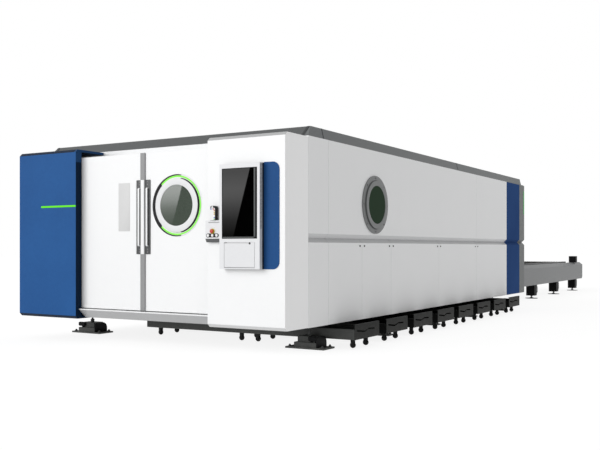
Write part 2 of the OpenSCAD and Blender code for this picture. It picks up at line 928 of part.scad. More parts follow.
// Foot: drilled plate, stepped block, and a jack bolt with its nut up to the bed
module foot(y, depth) {
    block_d = depth * foot_block_share;
    top_d = depth * foot_top_share;
    step_z = foot_t + foot_step_h;
    top_z = step_z + foot_top_h;
    difference() {
        span([foot_x - foot_w / 2, foot_x + foot_w / 2], [y - depth / 2, y + depth / 2], [0, foot_t]);
        for (sx = [-1, 1], sy = [-1, 1])
            bar_z(foot_x + sx * (foot_w / 2 - anchor_in), y + sy * (depth / 2 - anchor_in), anchor_r,
                  [-cut, foot_t + cut]);
    }
    span([foot_x - foot_block_w / 2, foot_x + foot_block_w / 2], [y - block_d / 2, y + block_d / 2],
         [foot_t, step_z]);
    span([foot_x - foot_top_w / 2, foot_x + foot_top_w / 2], [y - top_d / 2, y + top_d / 2],
         [step_z, top_z]);
    bar_z(foot_x, y, foot_bolt_r, [top_z, bed_bottom]);
    bar_z(foot_x, y, foot_nut_r, [top_z, top_z + foot_nut_h]);
    bar_z(foot_x, y, foot_cap_r, [bed_bottom - foot_cap_h, bed_bottom]);
}

module machine_feet() {
    color(dark) set_down() both_sides() {
        for (y = corner_feet) foot(y, foot_d);
        for (y = middle_feet) foot(y, foot_narrow);
    }
}

// Guide rails and gear racks on the bed beams
module guide_rails() {
    y = [bed_y[0] + rail_end, bed_y[1] - rail_end];
    color(steel) set_down() both_sides() {
        span([rail_x - rail_w / 2, rail_x + rail_w / 2], y, [bed_top, bed_top + rail_h]);
        span([rail_x + rack_set - rack_w / 2, rail_x + rack_set + rack_w / 2], y,
             [bed_top, bed_top + rack_h]);
    }
}

module gantry_beam() {
    reach = rail_x + truck_w / 2;
    color(grey) set_down() span([-reach, reach], gantry_y, gantry_z);
}

// End trucks that straddle the guide rails
module gantry_trucks() {
    middle = (gantry_y[0] + gantry_y[1]) / 2;
    y = [middle - truck_len / 2, middle + truck_len / 2];
    top_z = gantry_z[0];
    color(dark) set_down() both_sides() difference() {
        span([rail_x - truck_w / 2, rail_x + truck_w / 2], y, [bed_top + rail_h - truck_skirt, top_z]);
        span([rail_x - rail_w / 2 - slide_gap, rail_x + rail_w / 2 + slide_gap], [y[0] - cut, y[1] + cut],
             [bed_top, bed_top + rail_h + slide_gap]);
    }
}

carriage_y = [gantry_y[0] - slide_gap - carriage_t, gantry_y[0] - slide_gap];

// Carriage in front of the beam, hooked over its top
module carriage() {
    x = [-carriage_w / 2, carriage_w / 2];
    hook_z = gantry_z[1] + slide_gap;
    color(dark) set_down() {
        span(x, carriage_y, [gantry_z[0] + carriage_drop, hook_z + carriage_lip]);
        span(x, [carriage_y[0], gantry_y[0] + carriage_hook], [hook_z, hook_z + carriage_lip]);
    }
}

// Height slide with the cutting head and its nozzle
module cutting_head() {
    tip_z = upper_track_z + pallet_h + nozzle_lift;
    y = [carriage_y[0] - slide_gap - head_t, carriage_y[0] - slide_gap];
    middle = (y[0] + y[1]) / 2;
    body_z = tip_z + nozzle_h;
    color(steel) set_down() {
        span([-head_w / 2, head_w / 2], y, [body_z + head_body_h, gantry_z[1] - head_up]);
        bar_z(0, middle, head_body_r, [body_z, body_z + head_body_h]);
        translate([0, middle, tip_z]) cylinder(h = nozzle_h, r1 = nozzle_tip_r, r2 = head_body_r);
    }
}

// Table beams with a sloped top edge, an end beam and cross members
module table_frame() {
    mid_x = table_out - table_chamfer;
    color(grey) set_down() {
        both_sides() intersection() {
            run_y(table_y)
                polygon([[bed_half, table_bottom], [table_out, table_bottom],
                         [table_out, table_top - table_chamfer], [mid_x, table_top], [bed_half, table_top]]);
            run_x([bed_half, table_out])
                polygon([[table_y[0], table_bottom], [table_y[1] - table_end, table_bottom],
                         [table_y[1], table_bottom + table_end], [table_y[1], table_top - table_end],
                         [table_y[1] - table_end, table_top], [table_y[0], table_top]]);
        }
        span([-bed_half, bed_half], [table_y[1] - table_beam_w, table_y[1] - end_beam_set],
             [table_bottom, upper_track_z]);
        for (i = [0 : leg_rows - 1])
            span([-bed_half, bed_half], [leg_y(i), leg_y(i) + table_cross_w],
                 [table_bottom, table_bottom + table_cross_h]);
    }
}

function leg_y(i) = table_y[0] + leg_first + i * leg_pitch;

// Box legs on jack screws with round pads
module table_legs() {
    x = [table_out - leg_in - leg_w, table_out - leg_in];
    color(black) set_down() both_sides()
        for (i = [0 : leg_rows - 1]) {
            y = [leg_y(i), leg_y(i) + leg_d];
            span(x, y, [leg_foot, table_bottom]);
            bar_z((x[0] + x[1]) / 2, (y[0] + y[1]) / 2, jack_r, [pad_t, leg_foot]);
            bar_z((x[0] + x[1]) / 2, (y[0] + y[1]) / 2, pad_r, [0, pad_t]);
        }
}

// Ledges for the pallets, at two levels, along the bed and along the table
module pallet_tracks() {
    color(steel) set_down() both_sides()
        for (z = [upper_track_z, lower_track_z],
             y = [bed_y, [table_y[0], table_y[1] - table_beam_w]])
            span([bed_half - track_w, bed_half], y, [z - track_t, z]);
}

// Black drive housing on the right table beam
module drive_box() {
    x = table_out - drive_box_w;
    y = table_y[1] - drive_box_end;
    color(black) set_down()
        span([x, x + drive_box_w], [y, y + drive_box_len], [table_top, table_top + drive_box_h]);
}

// Pallet frame with a row of slats, from its near end and its underside
module pallet(y, z) {
    pitch = pallet_len / slat_count;
    for (side = [-1, 1])
        span([side * pallet_half - (side > 0 ? pallet_rail_w : 0),
              side * pallet_half + (side > 0 ? 0 : pallet_rail_w)], [y, y + pallet_len], [z, z + pallet_h]);
    for (i = [0 : slat_count - 1])
        translate([-pallet_half, y + (i + 1 / 2) * pitch - slat_t / 2, z + slat_drop])
            cube([2 * pallet_half, slat_t, pallet_h - slat_drop]);
}

module upper_pallet() {
    color(dark) set_down() pallet(table_y[0] + pallet_lead, upper_track_z + slide_gap);
}

module lower_pallet() {
    color(dark) set_down() pallet(table_y[0] + pallet_lead - pallet_travel, lower_track_z + slide_gap);
}

// Caster with its fork under a cart tray
module caster(x, y) {
    bar_y(x, caster_r, caster_r, [y - caster_w / 2, y + caster_w / 2]);
    span([x - fork_len / 2, x + fork_len / 2], [y - fork_w / 2, y + fork_w / 2], [caster_r, cart_bottom]);
}

// Open tray on casters, with a bent pull slot in its end face
module slag_cart(k) {
    y = [cart_y(k), cart_y(k) + cart_w];
    x = [cart_face - cart_len, cart_face];
    wall_z = cart_top - cart_side_drop;
    tall = cart_top - cart_bottom;
    color(dark) set_down() {
        difference() {
            span(x, y, [cart_bottom, wall_z]);
            span([x[0] + cart_t, x[1] - cart_t], [y[0] + cart_t, y[1] - cart_t],
                 [cart_bottom + cart_t, wall_z + cut]);
            pull_slot(x, y, tall);
        }
        difference() {
            span([x[1] - cart_t, x[1]], y, [wall_z, cart_top]);
            pull_slot(x, y, tall);
        }
        for (sx = caster_x_shares, sy = caster_y_shares)
            caster(x[0] + sx * cart_len, y[0] + sy * cart_w);
    }
}

// Cut for the pull slot, through the end face
module pull_slot(x, y, tall) {
    line = [for (p = slot_points_share) [y[0] + p[0] * cart_w, cart_bottom + p[1] * tall]];
    run_x([x[1] - cart_t - cut, x[1] + cut])
        polygon(concat([for (p = line) [p[0], p[1] - slot_h / 2]],
                       [for (i = [len(line) - 1 : -1 : 0]) [line[i][0], line[i][1] + slot_h / 2]]));
}

right_upper_panels();
right_lower_panels();
left_panels();
panel_latches();
side_stripes();
rear_covers();
rear_wall();
wall_frame();
roof();
front_wall();
left_cabinet();
right_cabinet();
door_sill();
door_top_track();
left_door();
right_door();
left_door_handle();
right_door_handle();
door_cover_strip();
door_centre_bar();
door_window_frame();
door_window_ring();
door_window_light();
door_window_glass();
side_window_flange();
side_window_glass();
console_housing();
console_screen();
console_plate();
keyboard_flap();
flap_lock();
keyboard();
button_box();
estop_button();
button_left();
button_middle();
button_right();
handset();
bed_side_beams();
bed_cross_members();
machine_feet();
guide_rails();
gantry_beam();
gantry_trucks();
carriage();
cutting_head();
table_frame();
table_legs();
pallet_tracks();
drive_box();
upper_pallet();
lower_pallet();
slag_cart(0);  // slag_cart_1
slag_cart(1);  // slag_cart_2
slag_cart(2);  // slag_cart_3
slag_cart(3);  // slag_cart_4
slag_cart(4);  // slag_cart_5
slag_cart(5);  // slag_cart_6
slag_cart(6);  // slag_cart_7
slag_cart(7);  // slag_cart_8
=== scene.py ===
import math

import bmesh
import bpy
import numpy as np
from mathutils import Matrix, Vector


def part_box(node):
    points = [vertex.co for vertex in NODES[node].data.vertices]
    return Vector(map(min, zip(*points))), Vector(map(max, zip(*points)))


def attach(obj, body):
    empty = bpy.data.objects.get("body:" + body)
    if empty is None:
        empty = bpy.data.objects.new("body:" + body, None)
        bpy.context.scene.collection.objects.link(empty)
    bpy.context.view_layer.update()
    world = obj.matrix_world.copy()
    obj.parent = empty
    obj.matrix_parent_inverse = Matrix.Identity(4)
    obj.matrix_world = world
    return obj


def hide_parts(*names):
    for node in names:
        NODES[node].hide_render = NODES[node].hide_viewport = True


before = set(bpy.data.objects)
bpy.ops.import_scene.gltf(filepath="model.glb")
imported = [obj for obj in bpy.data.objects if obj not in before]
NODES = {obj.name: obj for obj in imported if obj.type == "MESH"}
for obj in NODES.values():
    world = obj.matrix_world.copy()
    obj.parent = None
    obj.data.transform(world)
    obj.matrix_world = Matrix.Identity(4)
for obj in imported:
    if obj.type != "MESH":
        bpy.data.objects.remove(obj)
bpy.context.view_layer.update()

LEFT_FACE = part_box("left_cabinet")[0]
RIGHT_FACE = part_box("right_cabinet")
# Pieces are drawn from the centre line and the cabinet fronts, and moved to the row frame by this
SHIFT = np.array([(LEFT_FACE.x + RIGHT_FACE[1].x) / 2, RIGHT_FACE[0].y, 0.0])
# Each axis with the two that lie across it
AXES = {"x": (0, 1, 2), "y": (1, 2, 0), "z": (2, 0, 1)}
# Points nearer than this are one, and edges sharper than these angles stay sharp or are rounded
MERGE, SHARP_ANGLE, ROUND_ANGLE = 2e-6, math.radians(38), math.radians(28)


# Shapes

def carried(rings, caps=True):
    """Profile carried along a path: point j of ring i joins point j + 1 and the same two points of ring i + 1, the
    ring wraps round, and flat caps close the first and the last ring."""
    rings = np.asarray(rings, float)
    count, points = rings.shape[:2]
    i, j = np.meshgrid(np.arange(count - 1), np.arange(points), indexing="ij")
    a, b = i * points + j, i * points + (j + 1) % points
    faces = np.stack([a, b, b + points, a + points], -1).reshape(-1, 4).tolist()
    if caps:
        ends = np.arange(points)
        faces += [ends[::-1].tolist(), (ends + (count - 1) * points).tolist()]
    return rings.reshape(-1, 3), faces


def eased(line, radius, loop=True, steps=4):
    """Line with each corner P replaced by the curve (1-s)^2 A + 2s(1-s) P + s^2 B, where A and B lie on the two
    sides at the radius from P, or at half the side where that is shorter."""
    line = np.asarray(line, float)
    before, after = np.roll(line, 1, 0) - line, np.roll(line, -1, 0) - line
    reach = [np.minimum(radius / np.linalg.norm(d, axis=1), 0.5)[:, None] for d in (before, after)]
    s = np.linspace(0, 1, steps)[None, :, None]
    start, end = line + before * reach[0], line + after * reach[1]
    curve = (1 - s) ** 2 * start[:, None] + 2 * s * (1 - s) * line[:, None] + s ** 2 * end[:, None]
    if loop:
        return curve.reshape(-1, line.shape[1])
    return np.vstack([line[:1], curve[1:-1].reshape(-1, line.shape[1]), line[-1:]])


def rounded(width, height, radius, steps=4):
    """Rounded rectangle about 0: four quarter circles corner + radius (cos t, sin t)."""
    turn = np.arange(4)[:, None] * np.pi / 2 + np.linspace(0, np.pi / 2, steps)
    x = np.array([[1], [-1], [-1], [1]]) * (width / 2 - radius) + radius * np.cos(turn)
    y = np.array([[1], [1], [-1], [-1]]) * (height / 2 - radius) + radius * np.sin(turn)
    return np.stack([x, y], -1).reshape(-1, 2)


def placed(outline, along, at):
    """Flat outline (u, v) set across one axis at a place on it."""
    k, u, v = AXES[along]
    ring = np.zeros((len(outline), 3))
    ring[:, k], ring[:, u], ring[:, v] = at, outline[:, 0], outline[:, 1]
    return ring


def lofted(steps, along, caps=True):
    """Outlines (u, v), each set across the axis at its place, joined one to the next."""
    return carried(np.stack([placed(np.asarray(o, float), along, p) for o, p in steps]), caps)


def soft_block(low, high, along, corner, edge, steps=3):
    """Rounded rectangle carried along an axis; at the ends it shrinks by edge (1 - sin t) as it advances by
    edge (1 - cos t), which rounds the end edges over."""
    low, high = np.array(low, float), np.array(high, float)
    k, *flat = AXES[along]
    size, middle = (high - low)[flat], (low + high)[flat] / 2
    t = np.linspace(0, np.pi / 2, 3)
    shrink, step = edge * (1 - np.sin(t)), edge * (1 - np.cos(t))
    places = np.concatenate([low[k] + step, high[k] - step[::-1]])
    return lofted([(rounded(*(size - 2 * d), max(corner - d, 2e-4), steps) + middle, p)
                   for d, p in zip([*shrink, *shrink[::-1]], places)], along)


def straight(profile, along, start, end):
    """Flat profile (u, v) carried straight along an axis from start to end."""
    return lofted([(profile, start), (profile, end)], along)


def turned(profile, centre, along, count, loop=False):
    """Surface of revolution: each (radius, height) of the profile is the circle centre + height on the axis +
    radius (cos t, sin t), moved off the axis by two more values if they are given; a loop joins the last circle
    to the first, and otherwise caps close the ends."""
    profile = np.asarray(profile, float)
    if loop:
        profile = np.vstack([profile, profile[:1]])
    k, u, v = AXES[along]
    t = np.linspace(0, 2 * np.pi, count, endpoint=False)
    rings = np.zeros((len(profile), count, 3))
    rings[..., k] = profile[:, 1:2]
    rings[..., u] = profile[:, :1] * np.cos(t)
    rings[..., v] = profile[:, :1] * np.sin(t)
    if profile.shape[1] == 4:
        rings[..., (u, v)] += profile[:, None, 2:]
    return carried(rings + np.asarray(centre, float), not loop)


def bent_bar(line, across, width, thick, radius):
    """Rounded rectangle carried along a flat line: each section stands on the line's tangent, with its width on the
    across axis and its thickness on the normal, tangent x across."""
    path = eased(line, radius, False, 5)
    tangent = np.gradient(path, axis=0)
    tangent /= np.linalg.norm(tangent, axis=1)[:, None]
    side = np.zeros(3)
    side[AXES[across][0]] = 1
    normal = np.cross(tangent, side)
    section = rounded(width, thick, min(width, thick) * 0.35)
    return carried(path[:, None] + section[None, :, :1] * side + section[None, :, 1:] * normal[:, None])


def join(parts):
    """All parts as one, with each part's face numbers moved past the points before it."""
    starts = np.cumsum([0] + [len(p) for p, _ in parts])
    faces = [[i + int(s) for i in f] for (_, fs), s in zip(parts, starts) for f in fs]
    return np.vstack([p for p, _ in parts]), faces


def repeated(part, places):
    """The part once at each place: its points plus that offset."""
    return join([(part[0] + np.asarray(p, float), part[1]) for p in places])


def mirrored(part):
    """The part and its copy across the centre line, x to -x."""
    return join([part, (part[0] * [-1, 1, 1], part[1])])


def linked(name, data):
    """Object with that data, in the scene."""
    made = bpy.data.objects.new(name, data)
    bpy.context.scene.collection.objects.link(made)
    return made


def piece(name, parts, body, finish, stands_for=()):
    """One mesh at the origin from its parts, with doubles merged and faces turned outwards."""
    points, faces = join(parts)
    mesh = bpy.data.meshes.new(name)
    mesh.from_pydata((points + SHIFT).tolist(), [], faces)
    work = bmesh.new()
    work.from_mesh(mesh)
    bmesh.ops.remove_doubles(work, verts=work.verts, dist=MERGE)
    bmesh.ops.recalc_face_normals(work, faces=work.faces)
    work.to_mesh(mesh)
    work.free()
    mesh.polygons.foreach_set("use_smooth", np.ones(len(mesh.polygons), bool))
    mesh.set_sharp_from_angle(angle=SHARP_ANGLE)
    mesh.materials.append(finish)
    made = linked(name, mesh)
    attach(made, body)
    if stands_for:
        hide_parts(*stands_for)


# Finishes

SOCKETS = {"Colour": "Color", "Dust": "Color", "Bare": "Color", "Stretch": "Vector"}


def group(name, inputs, outputs):
    """Empty shader node group with its named sockets, the sockets that it is given, and its end node."""
    made = bpy.data.node_groups.new(name, "ShaderNodeTree")
    for way, labels in (("INPUT", inputs), ("OUTPUT", outputs)):
        for label in labels.split():
            made.interface.new_socket(label, in_out=way, socket_type="NodeSocket" + SOCKETS.get(label, "Float"))
    return made, made.nodes.new("NodeGroupInput").outputs, made.nodes.new("NodeGroupOutput")


def put(tree, node, key, value):
    """Sets the node's input, or links it where the value is a socket."""
    if hasattr(value, "is_output"):
        tree.links.new(value, node.inputs[key])
    else:
        node.inputs[key].default_value = value


def feed(tree, node, **values):
    """Sets or links the node's inputs of those names."""
    for key, value in values.items():
        put(tree, node, key.replace("_", " "), value)


def place(tree, kind, inputs=(), **settings):
    """Node of a kind with its settings, and its inputs by name or number."""
    node = tree.nodes.new("ShaderNode" + kind)
    for key, value in settings.items():
        setattr(node, key, value)
    for key, value in inputs:
        put(tree, node, key, value)
    return node


def maths(tree, operation, a, b, c=0, clamp=False):
    """Result of one Math node on numbers or sockets."""
    return place(tree, "Math", enumerate((a, b, c)), operation=operation, use_clamp=clamp).outputs[0]


def mixed(tree, share, a, b, blend="MIX"):
    """Colour mix of a and b by a share; each is a colour or a socket."""
    a, b = [x if hasattr(x, "is_output") else (*x, 1) for x in (a, b)]
    return place(tree, "Mix", [(0, share), (6, a), (7, b)], data_type="RGBA", blend_type=blend).outputs[2]


def own_place(tree):
    """The object's own coordinates."""
    return place(tree, "TexCoord").outputs["Object"]


def spots(tree, where, scale, detail=3, rough=0.55):
    """Value of a noise at a scale, read at a place."""
    inputs = [("Vector", where), ("Scale", scale), ("Detail", detail), ("Roughness", rough)]
    return place(tree, "TexNoise", inputs).outputs[0]


def coat_group():
    """Sprayed coat: broad tone, fine orange peel and an uneven gloss."""
    tree, given, end = group("sprayed_coat", "Colour Tone Gloss", "Colour Roughness Height")
    where = own_place(tree)
    broad = maths(tree, "SUBTRACT", spots(tree, where, 1.1), 0.5)
    fine = maths(tree, "SUBTRACT", spots(tree, where, 23, 4), 0.5)
    both = maths(tree, "ADD", maths(tree, "MULTIPLY", broad, 1.4), maths(tree, "MULTIPLY", fine, 0.6))
    share = maths(tree, "MULTIPLY_ADD", both, given["Tone"], 0.5, True)
    tone = mixed(tree, share, (0, 0, 0), (1, 1, 1))
    smear = maths(tree, "ADD", maths(tree, "MULTIPLY", broad, 0.16), maths(tree, "MULTIPLY", fine, 0.12))
    feed(tree, end, Colour=mixed(tree, 1, given["Colour"], tone, "SOFT_LIGHT"),
         Roughness=maths(tree, "ADD", given["Gloss"], smear, clamp=True),
         Height=spots(tree, where, 380, 2, 0.4))
    return tree


def dust_group():
    """Floor dust: a mask that fades with height above the floor and is broken up by spots."""
    tree, given, end = group("floor_dust", "Colour Dust Reach Amount", "Colour")
    where = own_place(tree)
    height = place(tree, "SeparateXYZ", [(0, where)]).outputs["Z"]
    fade = maths(tree, "SUBTRACT", 1, maths(tree, "DIVIDE", height, given["Reach"]), clamp=True)
    broken = maths(tree, "MULTIPLY_ADD", spots(tree, where, 14, 5, 0.65), 1.6, -0.35, True)
    mask = maths(tree, "MULTIPLY", maths(tree, "MULTIPLY", fade, broken), given["Amount"], clamp=True)
    feed(tree, end, Colour=mixed(tree, mask, given["Colour"], given["Dust"]))
    return tree


def stretched(tree, where, stretch):
    """The place times a stretch, axis by axis."""
    return place(tree, "VectorMath", [(0, where), (1, stretch)], operation="MULTIPLY").outputs[0]


def scuff_group():
    """Scuffs: long thin streaks where a stretched noise passes a threshold, thinned by broad spots."""
    tree, given, end = group("long_scuffs", "Colour Bare Amount Stretch", "Colour")
    where = own_place(tree)
    pulled = stretched(tree, where, given["Stretch"])
    streak = maths(tree, "MULTIPLY_ADD", spots(tree, pulled, 1, 5, 0.7), 6, -3.6, True)
    patch = maths(tree, "MULTIPLY_ADD", spots(tree, where, 3.1, 2), 3, -1.2, True)
    mask = maths(tree, "MULTIPLY", maths(tree, "MULTIPLY", streak, patch), given["Amount"], clamp=True)
    feed(tree, end, Colour=mixed(tree, mask, given["Colour"], given["Bare"]))
    return tree


def brush_group():
    """Brushed or rolled metal: fine lines along one way, with cloudy stains."""
    tree, given, end = group("brushed_lines", "Colour Gloss Stretch", "Colour Roughness Height")
    where = own_place(tree)
    lines = spots(tree, stretched(tree, where, given["Stretch"]), 1, 4, 0.6)
    cloud = spots(tree, where, 5, 4)
    share = maths(tree, "MULTIPLY_ADD", maths(tree, "ADD", lines, cloud), 0.5, -0.05, True)
    dark = mixed(tree, 1, given["Colour"], (0.62, 0.6, 0.58), "MULTIPLY")
    uneven = maths(tree, "SUBTRACT", lines, 0.5)
    feed(tree, end, Colour=mixed(tree, share, dark, given["Colour"]),
         Roughness=maths(tree, "MULTIPLY_ADD", uneven, 0.35, given["Gloss"], True), Height=lines)
    return tree


PEEL_DEPTH, BRUSH_BUMP, BRUSH_DEPTH = 0.0006, 0.15, 0.0004
COAT, DUST, SCUFF, BRUSH = coat_group(), dust_group(), scuff_group(), brush_group()


def start_finish(name, **sockets):
    """Material, its node tree and its shader, whose constant sockets are set here."""
    made = bpy.data.materials.new(name)
    made.use_nodes = True
    shader = made.node_tree.nodes["Principled BSDF"]
    feed(made.node_tree, shader, **sockets)
    return made, made.node_tree, shader


def banded(tree, colour, bands):
    """Colour with bands painted over it: a band covers the points whose coordinates all lie in its limits."""
    if not bands:
        return None
    where = place(tree, "SeparateXYZ", [(0, own_place(tree))])
    for paint, limits in bands:
        inside = None
        for axis, low, high in limits:
            shift = SHIFT["xyz".index(axis)]
            here = maths(tree, "COMPARE", where.outputs[axis.upper()], (low + high) / 2 + shift, (high - low) / 2)
            inside = here if inside is None else maths(tree, "MULTIPLY", inside, here)
        colour = mixed(tree, inside, colour, paint)
    return colour


def layer(tree, made, colour, under, **values):
    """A shader node group over a constant colour, or over the colour of the layer under it where there is one."""
    return place(tree, "Group", [("Colour", under or (*colour, 1)), *values.items()], node_tree=made)


def scuffed(tree, colour, under, scuff):
    """Colour of the scuffs (bare colour, amount, stretch) over the layer under them, or of that layer alone."""
    if not scuff:
        return under
    bare, amount, stretch = scuff
    return layer(tree, SCUFF, colour, under, Bare=(*bare, 1), Amount=amount, Stretch=stretch).outputs["Colour"]


def surfaced(tree, shader, coat, strength, distance):
    """Links the coat's colour, its roughness and its height as a bump to the shader."""
    bump = place(tree, "Bump", [("Strength", strength), ("Distance", distance), ("Height", coat.outputs["Height"])])
    feed(tree, shader, Base_Color=coat.outputs["Colour"], Roughness=coat.outputs["Roughness"],
         Normal=bump.outputs[0])


def painted(name, colour, gloss=0.4, tone=0.1, peel=0.12, bands=(), dust=None, scuff=None, shine=0.5):
    """Paint or moulded plastic: bands, then floor dust (colour, reach, amount), then scuffs, under the coat."""
    made, tree, shader = start_finish(name, Specular_IOR_Level=shine)
    at = banded(tree, colour, bands)
    if dust:
        at = layer(tree, DUST, colour, at, Dust=(*dust[0], 1), Reach=dust[1], Amount=dust[2]).outputs["Colour"]
    at = scuffed(tree, colour, at, scuff)
    surfaced(tree, shader, layer(tree, COAT, colour, at, Tone=tone, Gloss=gloss), peel, PEEL_DEPTH)
    return made


def metal(name, colour, gloss, stretch, scuff=None):
    """Bare metal: brushed lines along the way that is stretched least, over scuffs."""
    made, tree, shader = start_finish(name, Metallic=1)
    at = scuffed(tree, colour, None, scuff)
    surfaced(tree, shader, layer(tree, BRUSH, colour, at, Gloss=gloss, Stretch=stretch), BRUSH_BUMP, BRUSH_DEPTH)
    return made


def lit(name, colour, strength, pitch):
    """Light strip: a diffuser whose glow swells at each lamp behind it."""
    made, tree, shader = start_finish(name, Roughness=0.35, Specular_IOR_Level=0.1, Emission_Strength=strength)
    lamps = maths(tree, "MULTIPLY_ADD", spots(tree, own_place(tree), pitch, 1), 0.7, 0.6, True)
    dim = mixed(tree, 1, colour, (0.7, 0.82, 0.55), "MULTIPLY")
    glow = mixed(tree, lamps, dim, colour)
    feed(tree, shader, Base_Color=mixed(tree, 1, glow, (0.2, 0.2, 0.2), "MULTIPLY"), Emission_Color=glow)
    return made


def pane(name, colour, gloss, **sockets):
    """Glass or glossy screen: a deep tint that drifts, with faint wiping marks in the gloss."""
    made, tree, shader = start_finish(name, **sockets)
    where = own_place(tree)
    drift = maths(tree, "MULTIPLY_ADD", spots(tree, where, 2.2), 0.5, 0.25, True)
    tint = mixed(tree, drift, tuple(0.82 * c for c in colour), tuple(1.18 * c for c in colour))
    pulled = stretched(tree, where, (6, 6, 22))
    wipe = maths(tree, "MULTIPLY_ADD", spots(tree, pulled, 1, 4), 0.03, gloss, True)
    feed(tree, shader, Base_Color=tint, Roughness=wipe)
    return made


DIRT = (0.2, 0.19, 0.17)
WHITE = (0.84, 0.845, 0.85)
BRIGHT = (0.96, 0.962, 0.965)
BLUE = (0.021, 0.094, 0.278)
# Navy of the painted shade on the blue cabinet
SHADE_NAVY = (0.002, 0.0118, 0.0336)
BLACK = (0.01, 0.01, 0.011)
# Limits of bands: no limit, the side walls' face and the back of the roof's front slope
BIG, SIDE, ROOF_EDGE = 99, 1.9985, 0.6005
WINDOW_X = 0.492
# Dark grey of the painted shade on the window's tub and trim
TUB_SHADE = (0.04, 0.04, 0.042)
# Dark grey of the roof's joints, also used as painted shade on the roof's front corners
joint_and_shade_paint = painted("roof_joint_and_shade_paint", (0.044, 0.047, 0.048), 0.5, 0.14, shine=0.2)
# white_paint: the two grey bands are painted shade on the top and bottom front chamfers, which are drawn darker than
# the white faces around them
white_paint = painted("white_paint", WHITE, 0.34, 0.12, bands=[
    ((0.42, 0.423, 0.426), [("y", 0.0015, 0.06), ("z", 2.322, BIG)]),
    ((0.66, 0.663, 0.666), [("y", 0.0015, 0.06), ("z", -BIG, 0.3235)]), (BRIGHT, [("x", SIDE, BIG)])])
# side_paint: the two grey bands are painted shade in the groove along the side panels, darker on its lower half than on
# its upper half
side_paint = painted("side_panel_paint", WHITE, 0.38, 0.14, bands=[
    ((0.47, 0.475, 0.48), [("x", -SIDE, SIDE), ("z", 1.2115, 1.2605)]),
    ((0.75, 0.755, 0.76), [("x", -SIDE, SIDE), ("z", 1.2605, 1.3105)])])
# left_blue: the navy bands are painted shade on the jamb and the faces behind the cabinet's front, and on its top and
# bottom chamfers; the last, lighter navy band is painted shade under the header
left_blue = painted("blue_cabinet_paint", BLUE, 0.36, 0.16, shine=0.05, bands=[
    (SHADE_NAVY, [("x", -1.0315, BIG), ("y", 0.0015, BIG)]), (SHADE_NAVY, [("z", 2.322, BIG)]), (SHADE_NAVY, [("z", -BIG, 0.3235)]),
    ((0.013, 0.05, 0.135), [("x", -1.0315, BIG), ("y", 0.0015, BIG), ("z", 2.2, 2.4)])])
blue_paint = painted("blue_paint", (0.0165, 0.074, 0.224), 0.36, 0.16, shine=0.05)
stripe_paint = painted("stripe_paint", (0.036, 0.081, 0.222), 0.5, 0.16, shine=0)
ring_paint = painted("ring_paint", (0.72, 0.725, 0.735), 0.36, 0.1)
# console_paint: the black band at the back of the housing is painted shade, the dark gap against the cabinet front
console_paint = painted("console_paint", (0.72, 0.725, 0.74), 0.42, 0.12, bands=[
    ((0.62, 0.62, 0.61), [("x", 1.739, BIG)]), (BLACK, [("y", -0.036, 0.01)])])
flap_paint = painted("flap_paint", (0.7, 0.705, 0.72), 0.45, 0.12)
line_paint = painted("line_paint", (0.36, 0.362, 0.37), 0.5, 0.12, 0.08)
button_box_paint = painted("button_box_paint", (0.72, 0.725, 0.74), 0.42, 0.12, bands=[
    ((0.085, 0.088, 0.09), [("z", -BIG, 1.2525)])])
grey_paint = painted("grey_paint", (0.24, 0.245, 0.245), 0.4, 0.15)
# flange_paint: the dark band is painted shade on the side wall of the raised ring
flange_paint = painted("flange_paint", (0.2, 0.206, 0.207), 0.42, 0.2, shine=0.3, bands=[
    ((0.062, 0.065, 0.065), [("x", 2.0152, 2.0315)])])
rear_paint = painted("rear_cover_paint", (0.142, 0.149, 0.15), 0.42, 0.15, shine=0.15)
table_paint = painted("table_paint", (0.172, 0.177, 0.18), 0.42, 0.18, scuff=((0.4, 0.4, 0.4), 0.3, (40, 1.5, 40)),
                      shine=0.3)
strip_paint = painted("strip_paint", (0.24, 0.243, 0.246), 0.4, 0.12)
# sill_paint: the sill is drawn grey with a white band on its top, which is painted light on the top and painted shade
# on the sloped face below it; the scuffs are wear
sill_paint = painted("sill_paint", (0.45, 0.455, 0.46), 0.36, 0.12, bands=[(WHITE, [("z", 0.398, BIG)])],
                     scuff=((0.62, 0.62, 0.62), 0.3, (2, 60, 60)))
# roof_paint: the darker band over the front fascia and front slope is painted shade, drawn darker than the side slopes
roof_paint = painted("roof_paint", (0.122, 0.13, 0.132), 0.46, 0.16, shine=0.35, bands=[
    ((0.074, 0.079, 0.08), [("x", -1.945, 1.945), ("y", -BIG, ROOF_EDGE)])])
bed_paint = painted("bed_paint", (0.2, 0.205, 0.21), 0.5, 0.2, dust=(DIRT, 0.9, 0.4))
frame_paint = painted("frame_paint", (0.3, 0.305, 0.31), 0.5, 0.2)
dark_paint = painted("dark_paint", (0.045, 0.047, 0.048), 0.42, 0.2, shine=0.3)
# Window tub: white, with its left and right sides dark as painted shade; window trim: white, with its left half dark as
# painted shade
tub_paint = painted("window_tub_paint", WHITE, 0.55, 0.16, shine=0.02, bands=[
    (TUB_SHADE, [("x", -BIG, WINDOW_X - 0.225)]), (TUB_SHADE, [("x", WINDOW_X + 0.06, BIG), ("y", -BIG, 0.1062)])])
shade_crescent_paint = painted("window_trim_shade_paint", WHITE, 0.34, 0.12, shine=0.02, bands=[
    (TUB_SHADE, [("x", -BIG, WINDOW_X + 0.06)])])
handle_paint = painted("handle_plate_paint", (0.075, 0.078, 0.08), 0.38, 0.16, shine=0.3)
trim_paint = painted("screen_trim_paint", (0.075, 0.08, 0.08), 0.4, 0.12, shine=0.2)
cart_paint = painted("cart_paint", (0.017, 0.018, 0.0175), 0.5, 0.3, dust=(DIRT, 0.34, 0.25),
                     scuff=((0.1, 0.1, 0.097), 0.4, (14, 14, 70)), shine=0.05)
